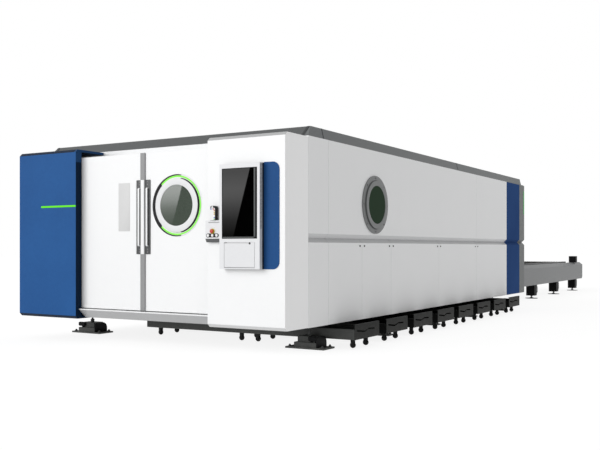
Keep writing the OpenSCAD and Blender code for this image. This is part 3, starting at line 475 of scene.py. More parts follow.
# Near black on the trays of the carts after the first: painted shade of the narrow gaps between the carts; the scuffs
# are wear
tray_shade_paint = painted("tray_shade_paint", (0.005, 0.0052, 0.005), 0.55, 0.3, shine=0.04,
                     scuff=((0.06, 0.06, 0.058), 0.5, (14, 70, 70)))
foot_paint = painted("foot_paint", (0.046, 0.049, 0.048), 0.5, 0.3, dust=(DIRT, 0.3, 0.3),
                     scuff=((0.15, 0.15, 0.145), 0.4, (60, 60, 12)), shine=0.2)
black_paint = painted("black_paint", (0.006, 0.006, 0.0065), 0.42, 0.25, dust=(DIRT, 0.3, 0.04), shine=0.03)
side_tray_paint = painted("side_tray_paint", (0.056, 0.059, 0.057), 0.5, 0.3, dust=(DIRT, 0.34, 0.2),
                          scuff=((0.15, 0.15, 0.145), 0.4, (14, 14, 70)), shine=0.2)
fork_paint = painted("fork_paint", (0.01, 0.0105, 0.0105), 0.42, 0.2, shine=0.1)
nut_paint = painted("nut_paint", (0.045, 0.047, 0.047), 0.45, 0.2, shine=0.3)
black_plastic = painted("black_plastic", BLACK, 0.4, 0.2, 0.2, shine=0.25)
frame_plastic = painted("screen_frame_plastic", (0.006, 0.006, 0.0065), 0.5, 0.2, 0.2, shine=0.08)
rubber = painted("caster_rubber", (0.008, 0.008, 0.009), 0.62, 0.3, 0.3, dust=(DIRT, 0.08, 0.2), shine=0.04)
pale_plastic = painted("pale_plastic", (0.78, 0.785, 0.79), 0.4, 0.1, 0.2)
plate_finish = painted("plain_plate_finish", (0.62, 0.62, 0.62), 0.5, 0.12, 0.08)
red_plastic = painted("red_plastic", (0.5, 0.04, 0.014), 0.3, 0.15, 0.1)
yellow_plastic = painted("yellow_plastic", (0.55, 0.48, 0.02), 0.36, 0.15, 0.1)
key_plastic = painted("key_plastic", (0.55, 0.55, 0.55), 0.4, 0.1, 0.1, bands=[
    ((0.02, 0.09, 0.42), [("z", 1.47, 1.488)]), ((0.05, 0.4, 0.06), [("z", 1.451, 1.469)]),
    ((0.52, 0.34, 0.01), [("z", 1.508, 1.546)]), ((0.42, 0.1, 0.015), [("z", 1.547, 1.5655)]),
    ((0.02, 0.09, 0.42), [("z", 1.566, 1.62), ("x", 1, 1.104)]),
    ((0.5, 0.04, 0.02), [("z", 1.566, 1.62), ("x", 1.122, 1.3)])])
bright_steel = metal("bright_steel", (0.62, 0.62, 0.63), 0.28, (300, 4, 300))
bolt_steel = metal("bolt_steel", (0.3, 0.3, 0.31), 0.4, (60, 60, 60))
slat_steel = metal("slat_steel", (0.05, 0.048, 0.046), 0.5, (3, 90, 60),
                   scuff=((0.36, 0.31, 0.26), 0.6, (7, 90, 30)))
brass = metal("nozzle_brass", (0.78, 0.5, 0.24), 0.25, (60, 60, 500))
window_glass = pane("window_glass", (0.098, 0.122, 0.098), 0, IOR=2.3, Transmission_Weight=0.25)
side_glass = pane("side_window_glass_tint", (0.036, 0.061, 0.038), 0.02, IOR=1.1, Transmission_Weight=0.1,
                  Specular_IOR_Level=0.02)
screen_glass = pane("screen_glass", (0.0004, 0.0004, 0.0004), 0, IOR=1.8)
green_light = lit("green_light", (0.155, 0.88, 0.012), 0.78, 55)
ring_light = lit("ring_light", (0.27, 0.94, 0.09), 0.85, 55)
dim_light = lit("dim_green_light", (0.11, 0.5, 0.15), 0.55, 40)

CAD_FINISH = {
    white_paint: "right_cabinet front_wall left_door right_door door_top_track door_centre_bar",
    side_paint: "right_upper_panels right_lower_panels left_panels",
    left_blue: "left_cabinet",
    blue_paint: "console_plate",
    stripe_paint: "side_stripes",
    console_paint: "console_housing",
    flap_paint: "keyboard_flap",
    button_box_paint: "button_box",
    grey_paint: "rear_wall",
    rear_paint: "rear_covers",
    table_paint: "table_frame",
    strip_paint: "door_cover_strip",
    sill_paint: "door_sill",
    roof_paint: "roof",
    bed_paint: "bed_side_beams bed_cross_members",
    frame_paint: "wall_frame gantry_beam",
    dark_paint: "gantry_trucks carriage",
    foot_paint: "machine_feet",
    black_paint: "table_legs drive_box",
    black_plastic: "panel_latches flap_lock keyboard",
    bright_steel: "guide_rails pallet_tracks",
    screen_glass: "console_screen",
}
# Width of the rounded edges that nodes get, where it is not the usual one
EDGES = {
    0.0008: "keyboard console_screen",
    0.001: "keyboard_flap flap_lock",
    0.0015: "console_plate panel_latches",
    0.002: "side_stripes button_box guide_rails machine_feet pallet_tracks",
    0.0025: "right_upper_panels right_lower_panels left_panels",
    0.004: "table_frame",
    0.005: "left_cabinet right_cabinet",
    0.006: "door_centre_bar",
}
EDGE_OF = {name: width for width, names in EDGES.items() for name in names.split()}
USUAL_EDGE = 0.003


def finish_node(name, finish):
    """Gives a CAD node its finish and rounds its edges with a weld and a bevel, which leave its own points alone."""
    node = NODES[name]
    node.data.materials.clear()
    node.data.materials.append(finish)
    node.modifiers.new("weld", "WELD").merge_threshold = 2e-5
    bevel = node.modifiers.new("round_edges", "BEVEL")
    bevel.width, bevel.segments = EDGE_OF.get(name, USUAL_EDGE), 2
    bevel.limit_method, bevel.angle_limit = "ANGLE", ROUND_ANGLE


for finish, names in CAD_FINISH.items():
    for name in names.split():
        finish_node(name, finish)


# Points on a large circle, and where the faces of the leaves, the flap and the button box lie
FINE = 96
LEAF_FACE, FLAP_FACE, BUTTON_FACE = 0.105, -0.085, -0.052


# Door leaves

# Degrees from the top, clockwise, over which the door window's light runs
LIGHT_ARC = (-43, 223)


def round_window():
    """White ring and glass turned on the window's axis, a tub whose foot leans to the right and whose left and right
    sides are dark as painted shade, a light on an arc, section (radius, height) at centre + radius (sin t, cos t), and
    a crescent of trim whose left half is dark as painted shade."""
    centre = np.array([WINDOW_X, 0.127, 1.637])
    ring = eased([(0.234, 0), (0.3055, 0), (0.3055, -0.041), (0.234, -0.041)], 0.0015)
    tub = [(0.3057, 0, 0, 0), (0.3535, 0, 0, 0), (0.3535, -0.0205, 0, 0), (0.313, -0.0205, 0, 0.007),
           (0.3058, -0.0395, 0, 0)]
    trim = [(0.341, -0.0205, 0, 0), (0.35215, -0.0205, 0, -0.0105), (0.35215, -0.0245, 0, -0.0105),
            (0.341, -0.0245, 0, 0)]
    section = np.array([(0.322, -0.02), (0.339, -0.02), (0.339, -0.0226), (0.322, -0.0226)])
    t = np.radians(np.linspace(*LIGHT_ARC, FINE + 1))[:, None]
    light = np.stack([section[:, 0] * np.sin(t), section[:, 1] + 0 * t, section[:, 0] * np.cos(t)], -1)
    glass = [(0.2327, -0.032), (0.2337, -0.033), (0.2337, -0.037), (0.2327, -0.038)]
    leaf = "right_leaf"
    piece("window_ring", [turned(ring, centre, "y", FINE, True)], leaf, ring_paint, ["door_window_ring"])
    piece("window_tub", [turned(tub, centre, "y", FINE, True)], leaf, tub_paint, ["door_window_frame"])
    piece("window_trim", [turned(trim, centre, "y", FINE, True)], leaf, shade_crescent_paint)
    piece("window_light", [carried(light + centre)], leaf, ring_light, ["door_window_light"])
    piece("window_pane", [turned(glass, centre, "y", FINE)], leaf, window_glass, ["door_window_glass"])


def grip(name, low, high, middle):
    """Back plate from low to high on a leaf, and a grip bar at its middle, bent out of it and back."""
    back, out, foot, top = 0.098, 0.077, 1.176, 1.849
    bar = [(middle, back, foot), (middle, out, foot), (middle, out, top), (middle, back, top)]
    screws = [turned([(0.007, 0), (0.007, -0.002), (0.0055, -0.003), (0.003, -0.003), (0.0028, -0.001)],
                     (middle, 0.097, z), "y", 12) for z in (1.105, 1.135, 1.89, 1.92)]
    plate = soft_block((low, 0.097, 1.08), (high, LEAF_FACE, 1.945), "y", 0.006, 0.003)
    leaf = name + "_leaf"
    piece(name + "_grip_plate", [plate], leaf, handle_paint, [name + "_door_handle"])
    piece(name + "_grip_bar", [bent_bar(bar, "x", 0.024, 0.008, 0.016)], leaf, white_paint)
    piece(name + "_grip_screws", screws, leaf, bolt_steel)


round_window()
grip("left", -0.1141, -0.0481, -0.0631)
grip("right", 0.0225, 0.0985, 0.0595)
piece("plain_plate", [soft_block((-0.4, 0.1032, 1.35), (-0.22, LEAF_FACE, 1.92), "y", 0.006, 0.0008)],
      "left_leaf", plate_finish)


# Lights on the enclosure

piece("front_light", [soft_block((-1.6, -0.004, 1.653), (-1.001, 0.0, 1.676), "y", 0.004, 0.0015)],
      "base", green_light)
piece("rear_light", [soft_block((2.0, 8.845, 1.81), (2.004, 8.89, 2.26), "x", 0.004, 0.0015)],
      "base", dim_light)


# Roof joints

def roof_joints_and_corner_shade():
    """Dark strips over the joints of the roof, bent over its sloped sides, and dark strips up its front corners as
    painted shade of the corner facets.
    """
    line = [(-1.9885, 2.372), (-1.9585, 2.4908), (1.9585, 2.4908), (1.9885, 2.372)]
    joints = [bent_bar([(x, y, z) for x, z in line], "y", 0.016, 0.003, 0.004) for y in (0.8385, 5.177)]
    # Strips up the front corners: painted shade
    slope = [(1.905, 0.4885, 2.372), (1.9165, 0.545, 2.4315), (1.928, 0.601, 2.4905)]
    corner = bent_bar(slope, "x", 0.036, 0.003, 0.004)
    piece("roof_joints_and_corner_shade", joints + [mirrored(corner)], "base", joint_and_shade_paint)


roof_joints_and_corner_shade()


# Side window

def side_window():
    """Flange with a raised ring turned on the window's axis, its bolts on a circle, and the glass."""
    centre = np.array([2.0, 2.132, 1.692])
    flange = eased([(0.23, 0), (0.363, 0), (0.363, 0.014), (0.308, 0.014), (0.299, 0.034), (0.2385, 0.034),
                    (0.2365, 0.027), (0.23, 0.027)], 0.002)
    glass = [(0.235, 0.0325), (0.2362, 0.0315), (0.2362, 0.0285), (0.235, 0.0275)]
    head = [(0.014, 0.013), (0.014, 0.016), (0.0095, 0.0165), (0.0095, 0.021), (0.008, 0.0225), (0.005, 0.0225),
            (0.0045, 0.018)]
    turn = np.arange(8) * np.pi / 4
    places = np.stack([0 * turn, 0.335 * np.cos(turn), 0.335 * np.sin(turn)], -1)
    bolts = repeated(turned(head, centre, "x", 12), places)
    piece("side_window_rim", [turned(flange, centre, "x", FINE, True)], "base", flange_paint,
          ["side_window_flange"])
    piece("side_window_bolts", [bolts], "base", bolt_steel)
    piece("side_window_pane", [turned(glass, centre, "x", FINE)], "base", side_glass,
          ["side_window_glass"])


side_window()


# Console

def mitred_frame(low, high, widths, back, front):
    """Flat frame in x and z: its outlines outer back, outer front, inner front and inner back, joined in turn."""
    left, right, bottom, top = widths
    (x0, z0), (x1, z1) = low, high
    outer = np.array([(z0, x0), (z0, x1), (z1, x1), (z1, x0)])
    inner = outer + [(bottom, left), (bottom, -right), (-top, -right), (-top, left)]
    slope = inner + (outer - inner) * 0.25
    return lofted([(outer, back), (outer, front), (slope, front), (inner, back), (outer, back)], "y", False)


def console():
    """Screen frame, trim, vent slots down the side, and the lines, catch, lock ring and slot lining of the flap."""
    surround = mitred_frame((1.2565, 1.2505), (1.7075, 1.9975), (0.006, 0.024, 0.005, 0.006), -0.079, -0.0835)
    trim = [soft_block((x, -0.0822, 1.2555), (1.6835, -0.079, z), "y", 0.001, 0.0008)
            for x, z in ((1.6635, 1.9915), (1.2625, 1.2705))]
    slot = soft_block((1.7397, -0.07, -0.0037), (1.7408, -0.05, 0.0037), "x", 0.0034, 0.0003)
    slots = repeated(slot, [(0, 0, z) for z in np.arange(1.36, 2.035, 0.0135)])
    lines = [soft_block((x, -0.0856, 0.95), (x + 0.004, -0.0845, 1.2105), "y", 0.001, 0.0004)
             for x in (1.2858, 1.6742)]
    catch = soft_block((1.29, -0.0858, 1.2065), (1.322, -0.0845, 1.2105), "y", 0.001, 0.0004)
    ring = eased([(0.0084, 0), (0.0118, 0), (0.0118, -0.0012), (0.0084, -0.0012)], 0.0005)
    lock = turned(ring, (1.6145, FLAP_FACE, 1.201), "y", 32, True)
    lining = soft_block((1.293, -0.0806, 1.2003), (1.599, -0.0796, 1.2077), "y", 0.001, 0.0003)
    piece("screen_frame", [surround], "base", frame_plastic)
    piece("screen_trim", trim, "base", trim_paint)
    piece("console_vents", [slots], "base", frame_plastic)
    piece("flap_lines", lines, "flap", line_paint)
    piece("flap_catches", [catch], "flap", dark_paint)
    piece("lock_ring", [lock], "flap", frame_plastic)
    piece("flap_slot_lining", [lining], "flap", plate_finish)


def buttons():
    """Dark plate, button caps, the stop's collar and mushroom head, the round ones turned on their axes."""
    left, width = 1.012, 0.212
    places = [left + width * s for s in (0.18, 0.455, 0.72)]
    cap = [(0.0145, 0.011), (0.0148, -0.003), (0.0158, -0.004), (0.0158, -0.0068), (0.0148, -0.0082),
           (0.012, -0.009), (0.008, -0.0088), (0.004, -0.0085)]
    back = soft_block((places[0] - 0.027, -0.0545, 1.2665), (places[2] + 0.027, -0.0521, 1.3095), "y", 0.0212, 0.001, 8)
    piece("button_plate", [back], "base", black_plastic)
    for name, x in zip(("left", "middle", "right"), places):
        piece(name + "_button_cap", [turned(cap, (x, BUTTON_FACE, 1.288), "y", 32)], "push_" + name,
              pale_plastic, ["button_" + name])
    disc = eased([(0.0115, 0), (0.0292, 0), (0.0292, -0.0018), (0.0265, -0.003), (0.0115, -0.003)], 0.001)
    head = [(0.0105, 0.013), (0.0105, -0.012), (0.012, -0.014), (0.0205, -0.014), (0.0222, -0.0155),
            (0.0226, -0.019), (0.022, -0.023), (0.019, -0.026), (0.013, -0.0275), (0.006, -0.028)]
    stop = (places[1], BUTTON_FACE, 1.334)
    piece("stop_collar", [turned(disc, stop, "y", 40, True)], "base", yellow_plastic)
    piece("stop_head", [turned(head, stop, "y", 40)], "stop", red_plastic, ["estop_button"])


def round_topped(x0, x1, z0, z1, r, y0, y1, edge):
    """Upright outline in x and z with two quarter circles on top, carried along y; its ends shrink by the edge."""
    arc = np.linspace(0, np.pi / 2, 7)
    outline = np.array([(x0, z0), (x1, z0), *np.stack([x1 - r + r * np.cos(arc), z1 - r + r * np.sin(arc)], -1),
                        *np.stack([x0 + r - r * np.sin(arc), z1 - r + r * np.cos(arc)], -1)])
    middle = np.array([(x0 + x1) / 2, (z0 + z1) / 2])
    small = middle + (outline - middle) * (1 - 2 * edge / np.array([x1 - x0, z1 - z0]))
    steps = ((small, y0), (outline, y0 + edge), (outline, y1 - edge), (small, y1))
    return lofted([(o[:, ::-1], y) for o, y in steps], "y")


def hand_set():
    """Round-topped dark body, a pale front shell and a dial on it, plain keys, and the shelf that it stands on."""
    body = round_topped(1.082, 1.149, 1.45, 1.608, 0.022, -0.062, -0.008, 0.003)
    front = round_topped(1.0832, 1.1478, 1.4515, 1.585, 0.014, -0.0645, -0.0605, 0.0015)
    dial = turned([(0.011, -0.06), (0.011, -0.064), (0.009, -0.066), (0.005, -0.0665)], (1.113, 0, 1.5935), "y", 24)
    key = soft_block((-0.0068, -0.0662, -0.0068), (0.0068, -0.064, 0.0068), "y", 0.002, 0.0008)
    column = [(1.14, 0, z) for z in (1.461, 1.479, 1.517, 1.537, 1.558)]
    row = [(1.095 + 0.018 * k, 0, 1.573) for k in range(3)]
    shelf = soft_block((1.054, -0.058, 1.4265), (1.204, -0.051, 1.4315), "y", 0.0015, 0.001)
    piece("hand_set_body", [body], "base", black_plastic, ["handset"])
    piece("hand_set_front", [front], "base", pale_plastic)
    piece("hand_set_dial", [dial], "base", pale_plastic)
    piece("hand_set_keys", [repeated(key, column + row)], "base", key_plastic)
    piece("hand_set_shelf", [shelf], "base", grey_paint)


console()
buttons()
hand_set()


# Slag carts

CART_X = (-0.82, 2.25)
CART_LENGTH, CART_WIDTH, CART_LOW, CART_TOP, CART_SHEET = CART_X[1] - CART_X[0], 0.64, 0.11, 0.284, 0.006
FIRST_CART, CART_PITCH, CART_COUNT = 1.089, 0.851, 8


def cart_walls(y0):
    """Sheet tray: a floor and three walls with a folded rim, each carried straight."""
    y1, (x0, x1) = y0 + CART_WIDTH, CART_X
    front = x1 - CART_SHEET
    wall = eased([(0, 0.112), (0, 0.228), (0.02, 0.228), (0.02, 0.214), (0.0165, 0.214), (0.0165, 0.2245),
                  (0.005, 0.2245), (0.005, 0.112)], 0.0015)
    near, far = wall + [y0, 0], wall * [-1, 1] + [y1, 0]
    back = wall[:, ::-1] + [0, x0]
    return [soft_block((x0 + 0.002, y0 + 0.002, CART_LOW), (front, y1 - 0.002, CART_LOW + 0.005), "x", 0.002, 0.001),
            straight(near, "x", x0, front), straight(far, "x", x0, front), straight(back, "y", y0, y1)]


def cart_face(y0):
    """End face with a bent slot to pull by, and a fold along its top: the face's outline joins the slot's at the back,
    then the slot's front, its own front and its back again, point by point."""
    y1, x1 = y0 + CART_WIDTH, CART_X[1]
    back = x1 - CART_SHEET
    shares = np.array([(0.075, 0.59), (0.39, 0.46), (0.56, 0.6), (0.8, 0.55)])
    line = [y0, CART_LOW] + shares * [CART_WIDTH, CART_TOP - CART_LOW]
    half = np.array([0, 0.009])
    slot = np.vstack([line - half, (line + half)[::-1]])
    across = [y0, line[1, 0], line[2, 0], y1]
    edge = np.array([(y, CART_LOW) for y in across] + [(y, CART_TOP) for y in across[::-1]])
    return [lofted([(edge, back), (slot, back), (slot, x1), (edge, x1), (edge, back)], "x", False),
            soft_block((x1 - 0.024, y0 + 0.001, 0.2795), (x1 - 0.0005, y1 - 0.001, 0.2838), "y", 0.0015, 0.0008)]


def caster_parts():
    """Wheel with a crowned tread turned on y, hub caps, two fork cheeks under a crown plate, and a swivel race."""
    tread = [(0.012, -0.0135), (0.027, -0.014), (0.0325, -0.012), (0.0352, -0.007), (0.036, 0.0),
             (0.0352, 0.007), (0.0325, 0.012), (0.027, 0.014), (0.012, 0.0135)]
    wheel = turned(tread, (0, 0, 0.036), "y", 20)
    hub = join([turned([(0.011, s * 0.013), (0.011, s * 0.0175), (0.007, s * 0.0195)], (0, 0, 0.036), "y", 12)
                for s in (-1, 1)])
    cheek = eased([(-0.009, 0.03), (0.009, 0.03), (0.018, 0.046), (0.022, 0.092), (-0.022, 0.092),
                   (-0.018, 0.046)], 0.008, steps=3)
    cheeks = join([straight(cheek[:, ::-1], "y", *y) for y in ((-0.0205, -0.0165), (0.0165, 0.0205))])
    crown = soft_block((-0.024, -0.0215, 0.076), (0.024, 0.0215, 0.094), "z", 0.008, 0.003)
    race = turned([(0.017, 0.092), (0.021, 0.095), (0.021, 0.101), (0.016, 0.104), (0.016, 0.108), (0.027, 0.108),
                   (0.027, 0.1105)], (0, 0, 0), "z", 16)
    return wheel, join([hub, cheeks, crown, race])


def carts():
    """Trays at the panels' pitch, each on eight casters."""
    wheel, fork = caster_parts()
    spots_x = CART_X[0] + CART_LENGTH * np.array([0.034, 0.46, 0.54, 0.966])
    for k in range(CART_COUNT):
        y0 = FIRST_CART + CART_PITCH * k
        places = [(x, y0 + CART_WIDTH * s, 0) for x in spots_x for s in (0.24, 0.76)]
        body, name = "cart_%d" % (k + 1), "slag_tray_%d" % (k + 1)
        # The first cart's tray keeps its dark grey; the others are near black as painted shade of the gaps between the
        # carts
        piece(name, cart_walls(y0), body, tray_shade_paint if k else side_tray_paint, ["slag_" + body])
        piece(name + "_face", cart_face(y0), body, cart_paint)
        piece(name + "_wheels", [repeated(wheel, places)], body, rubber)
        piece(name + "_forks", [repeated(fork, places)], body, fork_paint)


carts()


# Feet and table legs

# Place along y and depth of each row's plates
FOOT_ROWS = ((0.997, 0.26), (7.778, 0.26), (2.6855, 0.173), (4.3875, 0.173), (6.0895, 0.173))
FOOT_X = 1.715
LEG_ROWS, LEG_X = (11.57, 13.63, 15.69), 1.4


def foot_details():
    """Anchor bolts at the plate corners, each a washer, a head of six points and a stud end turned on z, a hex nut on
    each jack bolt, round-topped dark plates on the right ends of the blocks as painted shade of their right sides, and
    a bracket with a stem before their outer half."""
    bolts, nuts, shade_webs, holders = [], [], [], []
    bolt = join([turned([(0.0243, 0), (0.0243, 0.0032), (0.009, 0.0032)], (0, 0, 0), "z", 16),
                 turned([(0.018, 0.0032), (0.018, 0.0136), (0.0153, 0.016)], (0, 0, 0), "z", 6),
                 turned([(0.009, 0.016), (0.009, 0.024), (0.0072, 0.0256)], (0, 0, 0), "z", 10)])
    stem = [(0.0117, 0), (0.013, 0.0013), (0.013, 0.0187), (0.0117, 0.02)]
    arc = np.linspace(0, np.pi / 2, 9)
    for y, depth in FOOT_ROWS:
        front = y - depth * 0.325
        corners = [(FOOT_X + sx * 0.215, y + sy * (depth / 2 - 0.04), 0.02) for sx in (-1, 1) for sy in (-1, 1)]
        bolts.append(repeated(bolt, corners))
        nuts.append(turned([(0.027, 0.164), (0.027, 0.182), (0.023, 0.186)], (FOOT_X, y, 0), "z", 6))
        half = depth * 0.435
        bend = np.stack([y + half - 0.075 + 0.075 * np.cos(arc), 0.066 + 0.075 * np.sin(arc)], -1)
        side = np.vstack([[(y - half, 0.02), (y + half, 0.02)], bend, [(y - half, 0.141)]])
        # Dark plates on the +x side of every foot: painted shade of the blocks' right sides
        shade_webs += [straight(side, "x", x, x + 0.014) for x in (FOOT_X + 0.145, 0.145 - FOOT_X)]
        holders += [soft_block((1.755, front - 0.03, 0.092), (1.865, front + 0.002, 0.147), "y", 0.016, 0.005),
                    turned(stem, (1.79, front - 0.018, 0.076), "z", 12)]
    piece("foot_bolts", [mirrored(join(bolts))], "base", nut_paint)
    piece("jack_nuts", [mirrored(join(nuts))], "base", nut_paint)
    piece("foot_shade_webs", shade_webs + [mirrored(join(holders))], "base", frame_plastic)


def leg_details():
    """Bracket plates and blocks beside the legs, and a boss with a nut on each round pad."""
    plates, blocks, jacks = [], [], []
    for y in LEG_ROWS:
        plates += [soft_block((1.325, y + 0.198, 0.105), (1.475, y + 0.318, 0.312), "x", 0.006, 0.003)]
        plates += [turned([(0.011, 1.474), (0.011, 1.482), (0.008, 1.484)], (0, y + 0.23 + 0.055 * k, z), "x", 6)
                   for k in (0, 1) for z in (0.15, 0.26)]
        blocks += [soft_block((1.34, y + 0.316, 0.125), (1.46, y + 0.41, 0.255), "x", 0.008, 0.004)]
        jacks += [turned([(0.062, 0.007), (0.058, 0.014), (0.03, 0.02), (0.026, 0.028), (0.014, 0.028)],
                         (LEG_X, y + 0.1, 0), "z", 24),
                  turned([(0.026, 0.044), (0.026, 0.062), (0.023, 0.066)], (LEG_X, y + 0.1, 0), "z", 6)]
    piece("leg_brackets", [mirrored(join(plates))], "base", table_paint)
    piece("leg_blocks", [mirrored(join(blocks))], "base", black_paint)
    piece("leg_jacks", [mirrored(join(jacks))], "base", bolt_steel)


foot_details()
leg_details()


# Exchange pallets

def toothed_slat(half, thick, low, valley, tip, pitch):
    """Flat blade in x and z: a straight lower edge and a saw line above it, tip and valley in turn, carried by its
    thickness along y."""
    count = int(2 * half / pitch)
    x = np.linspace(half, -half, 2 * count + 1)
    z = np.where(np.arange(2 * count + 1) % 2 == 0, valley, tip)
    blade = np.vstack([[(-half, low), (half, low)], np.stack([x, z], -1)])
    return straight(blade[:, ::-1], "y", -thick / 2, thick / 2)


PALLET_LENGTH, SLATS = 6.25, 56


def pallet(body, node, y0, z0):
    """Two channel rails with end beams and stays, and the toothed slats between them."""
    y1 = y0 + PALLET_LENGTH
    rail = eased([(1.26, 0.0), (1.34, 0.0), (1.34, 0.1), (1.26, 0.1), (1.26, 0.09), (1.33, 0.09),
                  (1.33, 0.01), (1.26, 0.01)], 0.003)
    rails = mirrored(straight(rail[:, ::-1] + [z0, 0], "y", y0, y1))
    ends = [soft_block((-1.335, y, z0 + 0.002), (1.335, y + 0.04, z0 + 0.07), "x", 0.006, 0.003)
            for y in (y0 + 0.001, y1 - 0.041)]
    stays = [soft_block((x - 0.02, y0 + 0.03, z0 + 0.004), (x + 0.02, y1 - 0.03, z0 + 0.024), "y", 0.005, 0.002)
             for x in (-0.67, 0.0, 0.67)]
    blade = toothed_slat(1.332, 0.006, z0 + 0.022, z0 + 0.08, z0 + 0.1, 0.06)
    places = [(0, y0 + (i + 0.5) * PALLET_LENGTH / SLATS, 0) for i in range(SLATS)]
    piece(body + "_frame", [rails] + ends + stays, body, dark_paint, [node])
    piece(body + "_slats", [repeated(blade, places)], body, slat_steel)


pallet("top_pallet", "upper_pallet", 9.05, 0.6903)
pallet("bottom_pallet", "lower_pallet", 1.2, 0.4403)


# Cutting head

def cutting_head():
    """Height slide block with a cover, a drawer and its knob, and the lens barrel and nozzle turned on z."""
    low, high = [np.array(v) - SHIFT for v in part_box("cutting_head")]
    face, middle, tip = low[1], 7.5642, 0.9003
    barrel = [(0.03, 0.058), (0.04, 0.062), (0.045, 0.07), (0.045, 0.1), (0.042, 0.103), (0.042, 0.112),
              (0.045, 0.115), (0.045, 0.15), (0.04, 0.156), (0.04, 0.172)]
    nozzle = [(0.0055, 0), (0.0075, 0.004), (0.012, 0.014), (0.016, 0.016), (0.016, 0.026), (0.026, 0.032),
              (0.031, 0.045), (0.031, 0.059)]
    slide = soft_block((-0.07, face, tip + 0.17), (0.07, high[1], high[2]), "z", 0.008, 0.004)
    drawer = soft_block((-0.048, face, tip + 0.118), (0.048, middle, tip + 0.146), "y", 0.004, 0.002)
    knob = turned([(0.007, 0.001), (0.007, -0.004), (0.005, -0.005)], (0.03, face, tip + 0.132), "y", 12)
    cover = soft_block((-0.06, face - 0.004, tip + 0.24), (0.06, face + 0.002, high[2] - 0.05), "y", 0.006, 0.002)
    piece("head_slide", [slide], "head", bright_steel, ["cutting_head"])
    piece("head_barrel", [turned(barrel, (0, middle, tip), "z", 40)], "head", bright_steel)
    piece("head_nozzle", [turned(nozzle, (0, middle, tip), "z", 32)], "head", brass)
    piece("head_cover", [cover, drawer, knob], "head", black_plastic)


cutting_head()


# Camera, floor and light

CAMERA_AT = np.array([6.323, -15.3785, 1.153])
CAMERA_TURN, CAMERA_LENS, CAMERA_SHIFT = 30.7721, 49.163, 0.0382
SUN_FROM, SUN_SPREAD, SUN_ENERGY = (-0.43, -0.83, 0.32), 45, 1.7
FLOOR_RADIUS, FLOOR_Z = 90.0, -0.0005
# Plane of the studio cards
CARD_Y = -11.2


def seen(tree):
    """1 on camera, glossy and transmission rays, and 0 on all others."""
    path = place(tree, "LightPath").outputs
    return maths(tree, "MAXIMUM", path["Is Camera Ray"],
                 maths(tree, "MAXIMUM", path["Is Glossy Ray"], path["Is Transmission Ray"]))


def sheet(name, points, finish):
    """One flat face through the points."""
    mesh = bpy.data.meshes.new(name)
    mesh.from_pydata(points.tolist(), [], [list(range(len(points)))])
    mesh.materials.append(finish)
    return linked(name, mesh)


def studio():
    """Camera at the photo's place, a pale floor that keeps its shadow, a white surround and one soft sun."""
    scene = bpy.context.scene
    scene.view_settings.view_transform = "Standard"
    lens = bpy.data.cameras.new("camera")
    lens.sensor_width, lens.lens, lens.shift_y, lens.clip_end = 36.0, CAMERA_LENS, CAMERA_SHIFT, 400.0
    scene.camera = linked("camera", lens)
    scene.camera.location = CAMERA_AT
    scene.camera.rotation_euler = (math.radians(90), 0, math.radians(CAMERA_TURN))

    sun = bpy.data.lights.new("soft_sun", "SUN")
    sun.energy, sun.angle = SUN_ENERGY, math.radians(SUN_SPREAD)
    x, y, z = SUN_FROM
    linked("soft_sun", sun).rotation_euler = (math.atan2(math.hypot(x, y), z), 0, math.atan2(y, x) + math.pi / 2)

    scene.world = bpy.data.worlds.new("white_surround")
    scene.world.use_nodes = True
    tree = scene.world.node_tree
    strength = maths(tree, "MULTIPLY_ADD", seen(tree), 0.42, 0.58)
    feed(tree, tree.nodes["Background"], Color=(1, 1, 1, 1), Strength=strength)

    finish, tree, shader = start_finish("pale_floor")
    tree.nodes.remove(shader)
    matt = place(tree, "BsdfDiffuse", [("Color", (0.82, 0.82, 0.82, 1))])
    strength = maths(tree, "MULTIPLY_ADD", seen(tree), 0.45, 0.7)
    glow = place(tree, "Emission", [("Color", (1, 1, 1, 1)), ("Strength", strength)])
    blend = place(tree, "MixShader", [(0, 0.75), (1, matt.outputs[0]), (2, glow.outputs[0])])
    feed(tree, tree.nodes["Material Output"], Surface=blend.outputs[0])
    t = np.linspace(0, 2 * np.pi, FINE, endpoint=False)
    floor = sheet("floor", np.stack([FLOOR_RADIUS * np.cos(t), FLOOR_RADIUS * np.sin(t), 0 * t + FLOOR_Z], -1), finish)


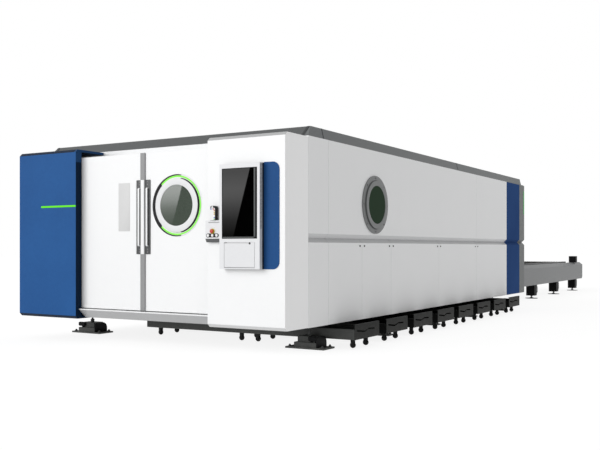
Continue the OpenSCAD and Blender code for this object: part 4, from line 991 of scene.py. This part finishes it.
def mirror_card(name, corners, plane_y, tones):
    """Studio card that a pane mirrors: its corners on the pane are carried along the mirrored camera's rays to a
    plane in front, and its glow follows the tones, strengths by height on the pane. It shows in reflections alone."""
    corners = np.asarray(corners, float)
    points = np.stack([corners[:, 0], np.full(len(corners), plane_y), corners[:, 1]], -1) + SHIFT
    mirror = CAMERA_AT * [1, -1, 1] + [0, 2 * points[0, 1], 0]
    reach = (CARD_Y - mirror[1]) / (points[0, 1] - mirror[1])
    finish, tree, shader = start_finish(name)
    tree.nodes.remove(shader)
    heights, strengths = np.array(tones).T
    low, high = mirror[2] + (heights[[0, -1]] - mirror[2]) * reach
    here = place(tree, "SeparateXYZ", [(0, own_place(tree))]).outputs["Z"]
    share = maths(tree, "MULTIPLY_ADD", here, float(1 / (high - low)), float(-low / (high - low)), True)
    ramp = place(tree, "ValToRGB", [(0, share)])
    top = max(strengths.max(), 1e-6)
    for k, (height, strength) in enumerate(tones):
        at = (height - heights[0]) / (heights[-1] - heights[0])
        stop = ramp.color_ramp.elements[k] if k < 2 else ramp.color_ramp.elements.new(at)
        stop.position, stop.color = at, (*[strength / top] * 3, 1)
    glow = place(tree, "Emission", [("Strength", top), ("Color", ramp.outputs[0])])
    feed(tree, tree.nodes["Material Output"], Surface=glow.outputs[0])
    card = sheet(name, mirror + (points - mirror) * reach, finish)
    for way in ("camera", "diffuse", "shadow", "transmission", "volume_scatter"):
        setattr(card, "visible_" + way, False)


NO_LIGHT = [(1.0, 0.0), (2.0, 0.0)]
studio()
mirror_card("screen_dark_card", [(1.388, 1.23), (1.78, 1.23), (1.78, 2.03), (1.625, 2.03)], -0.08, NO_LIGHT)
mirror_card("screen_light_card", [(1.2, 1.23), (1.388, 1.23), (1.625, 2.03), (1.2, 2.03)], -0.08,
            [(1.25, 0.04), (1.32, 0.1), (1.447, 0.27), (1.573, 0.59), (1.7, 0.96), (1.784, 1.05), (1.953, 0.81)])
mirror_card("window_dark_card", [(0.41, 1.35), (0.8, 1.35), (0.8, 1.93), (0.598, 1.93)], 0.089, NO_LIGHT)
mirror_card("window_light_card", [(0.2, 1.35), (0.41, 1.35), (0.598, 1.93), (0.2, 1.93)], 0.089,
            [(1.42, 0.1), (1.515, 0.26), (1.606, 0.57), (1.697, 1.18), (1.787, 1.58), (1.88, 1.7)])
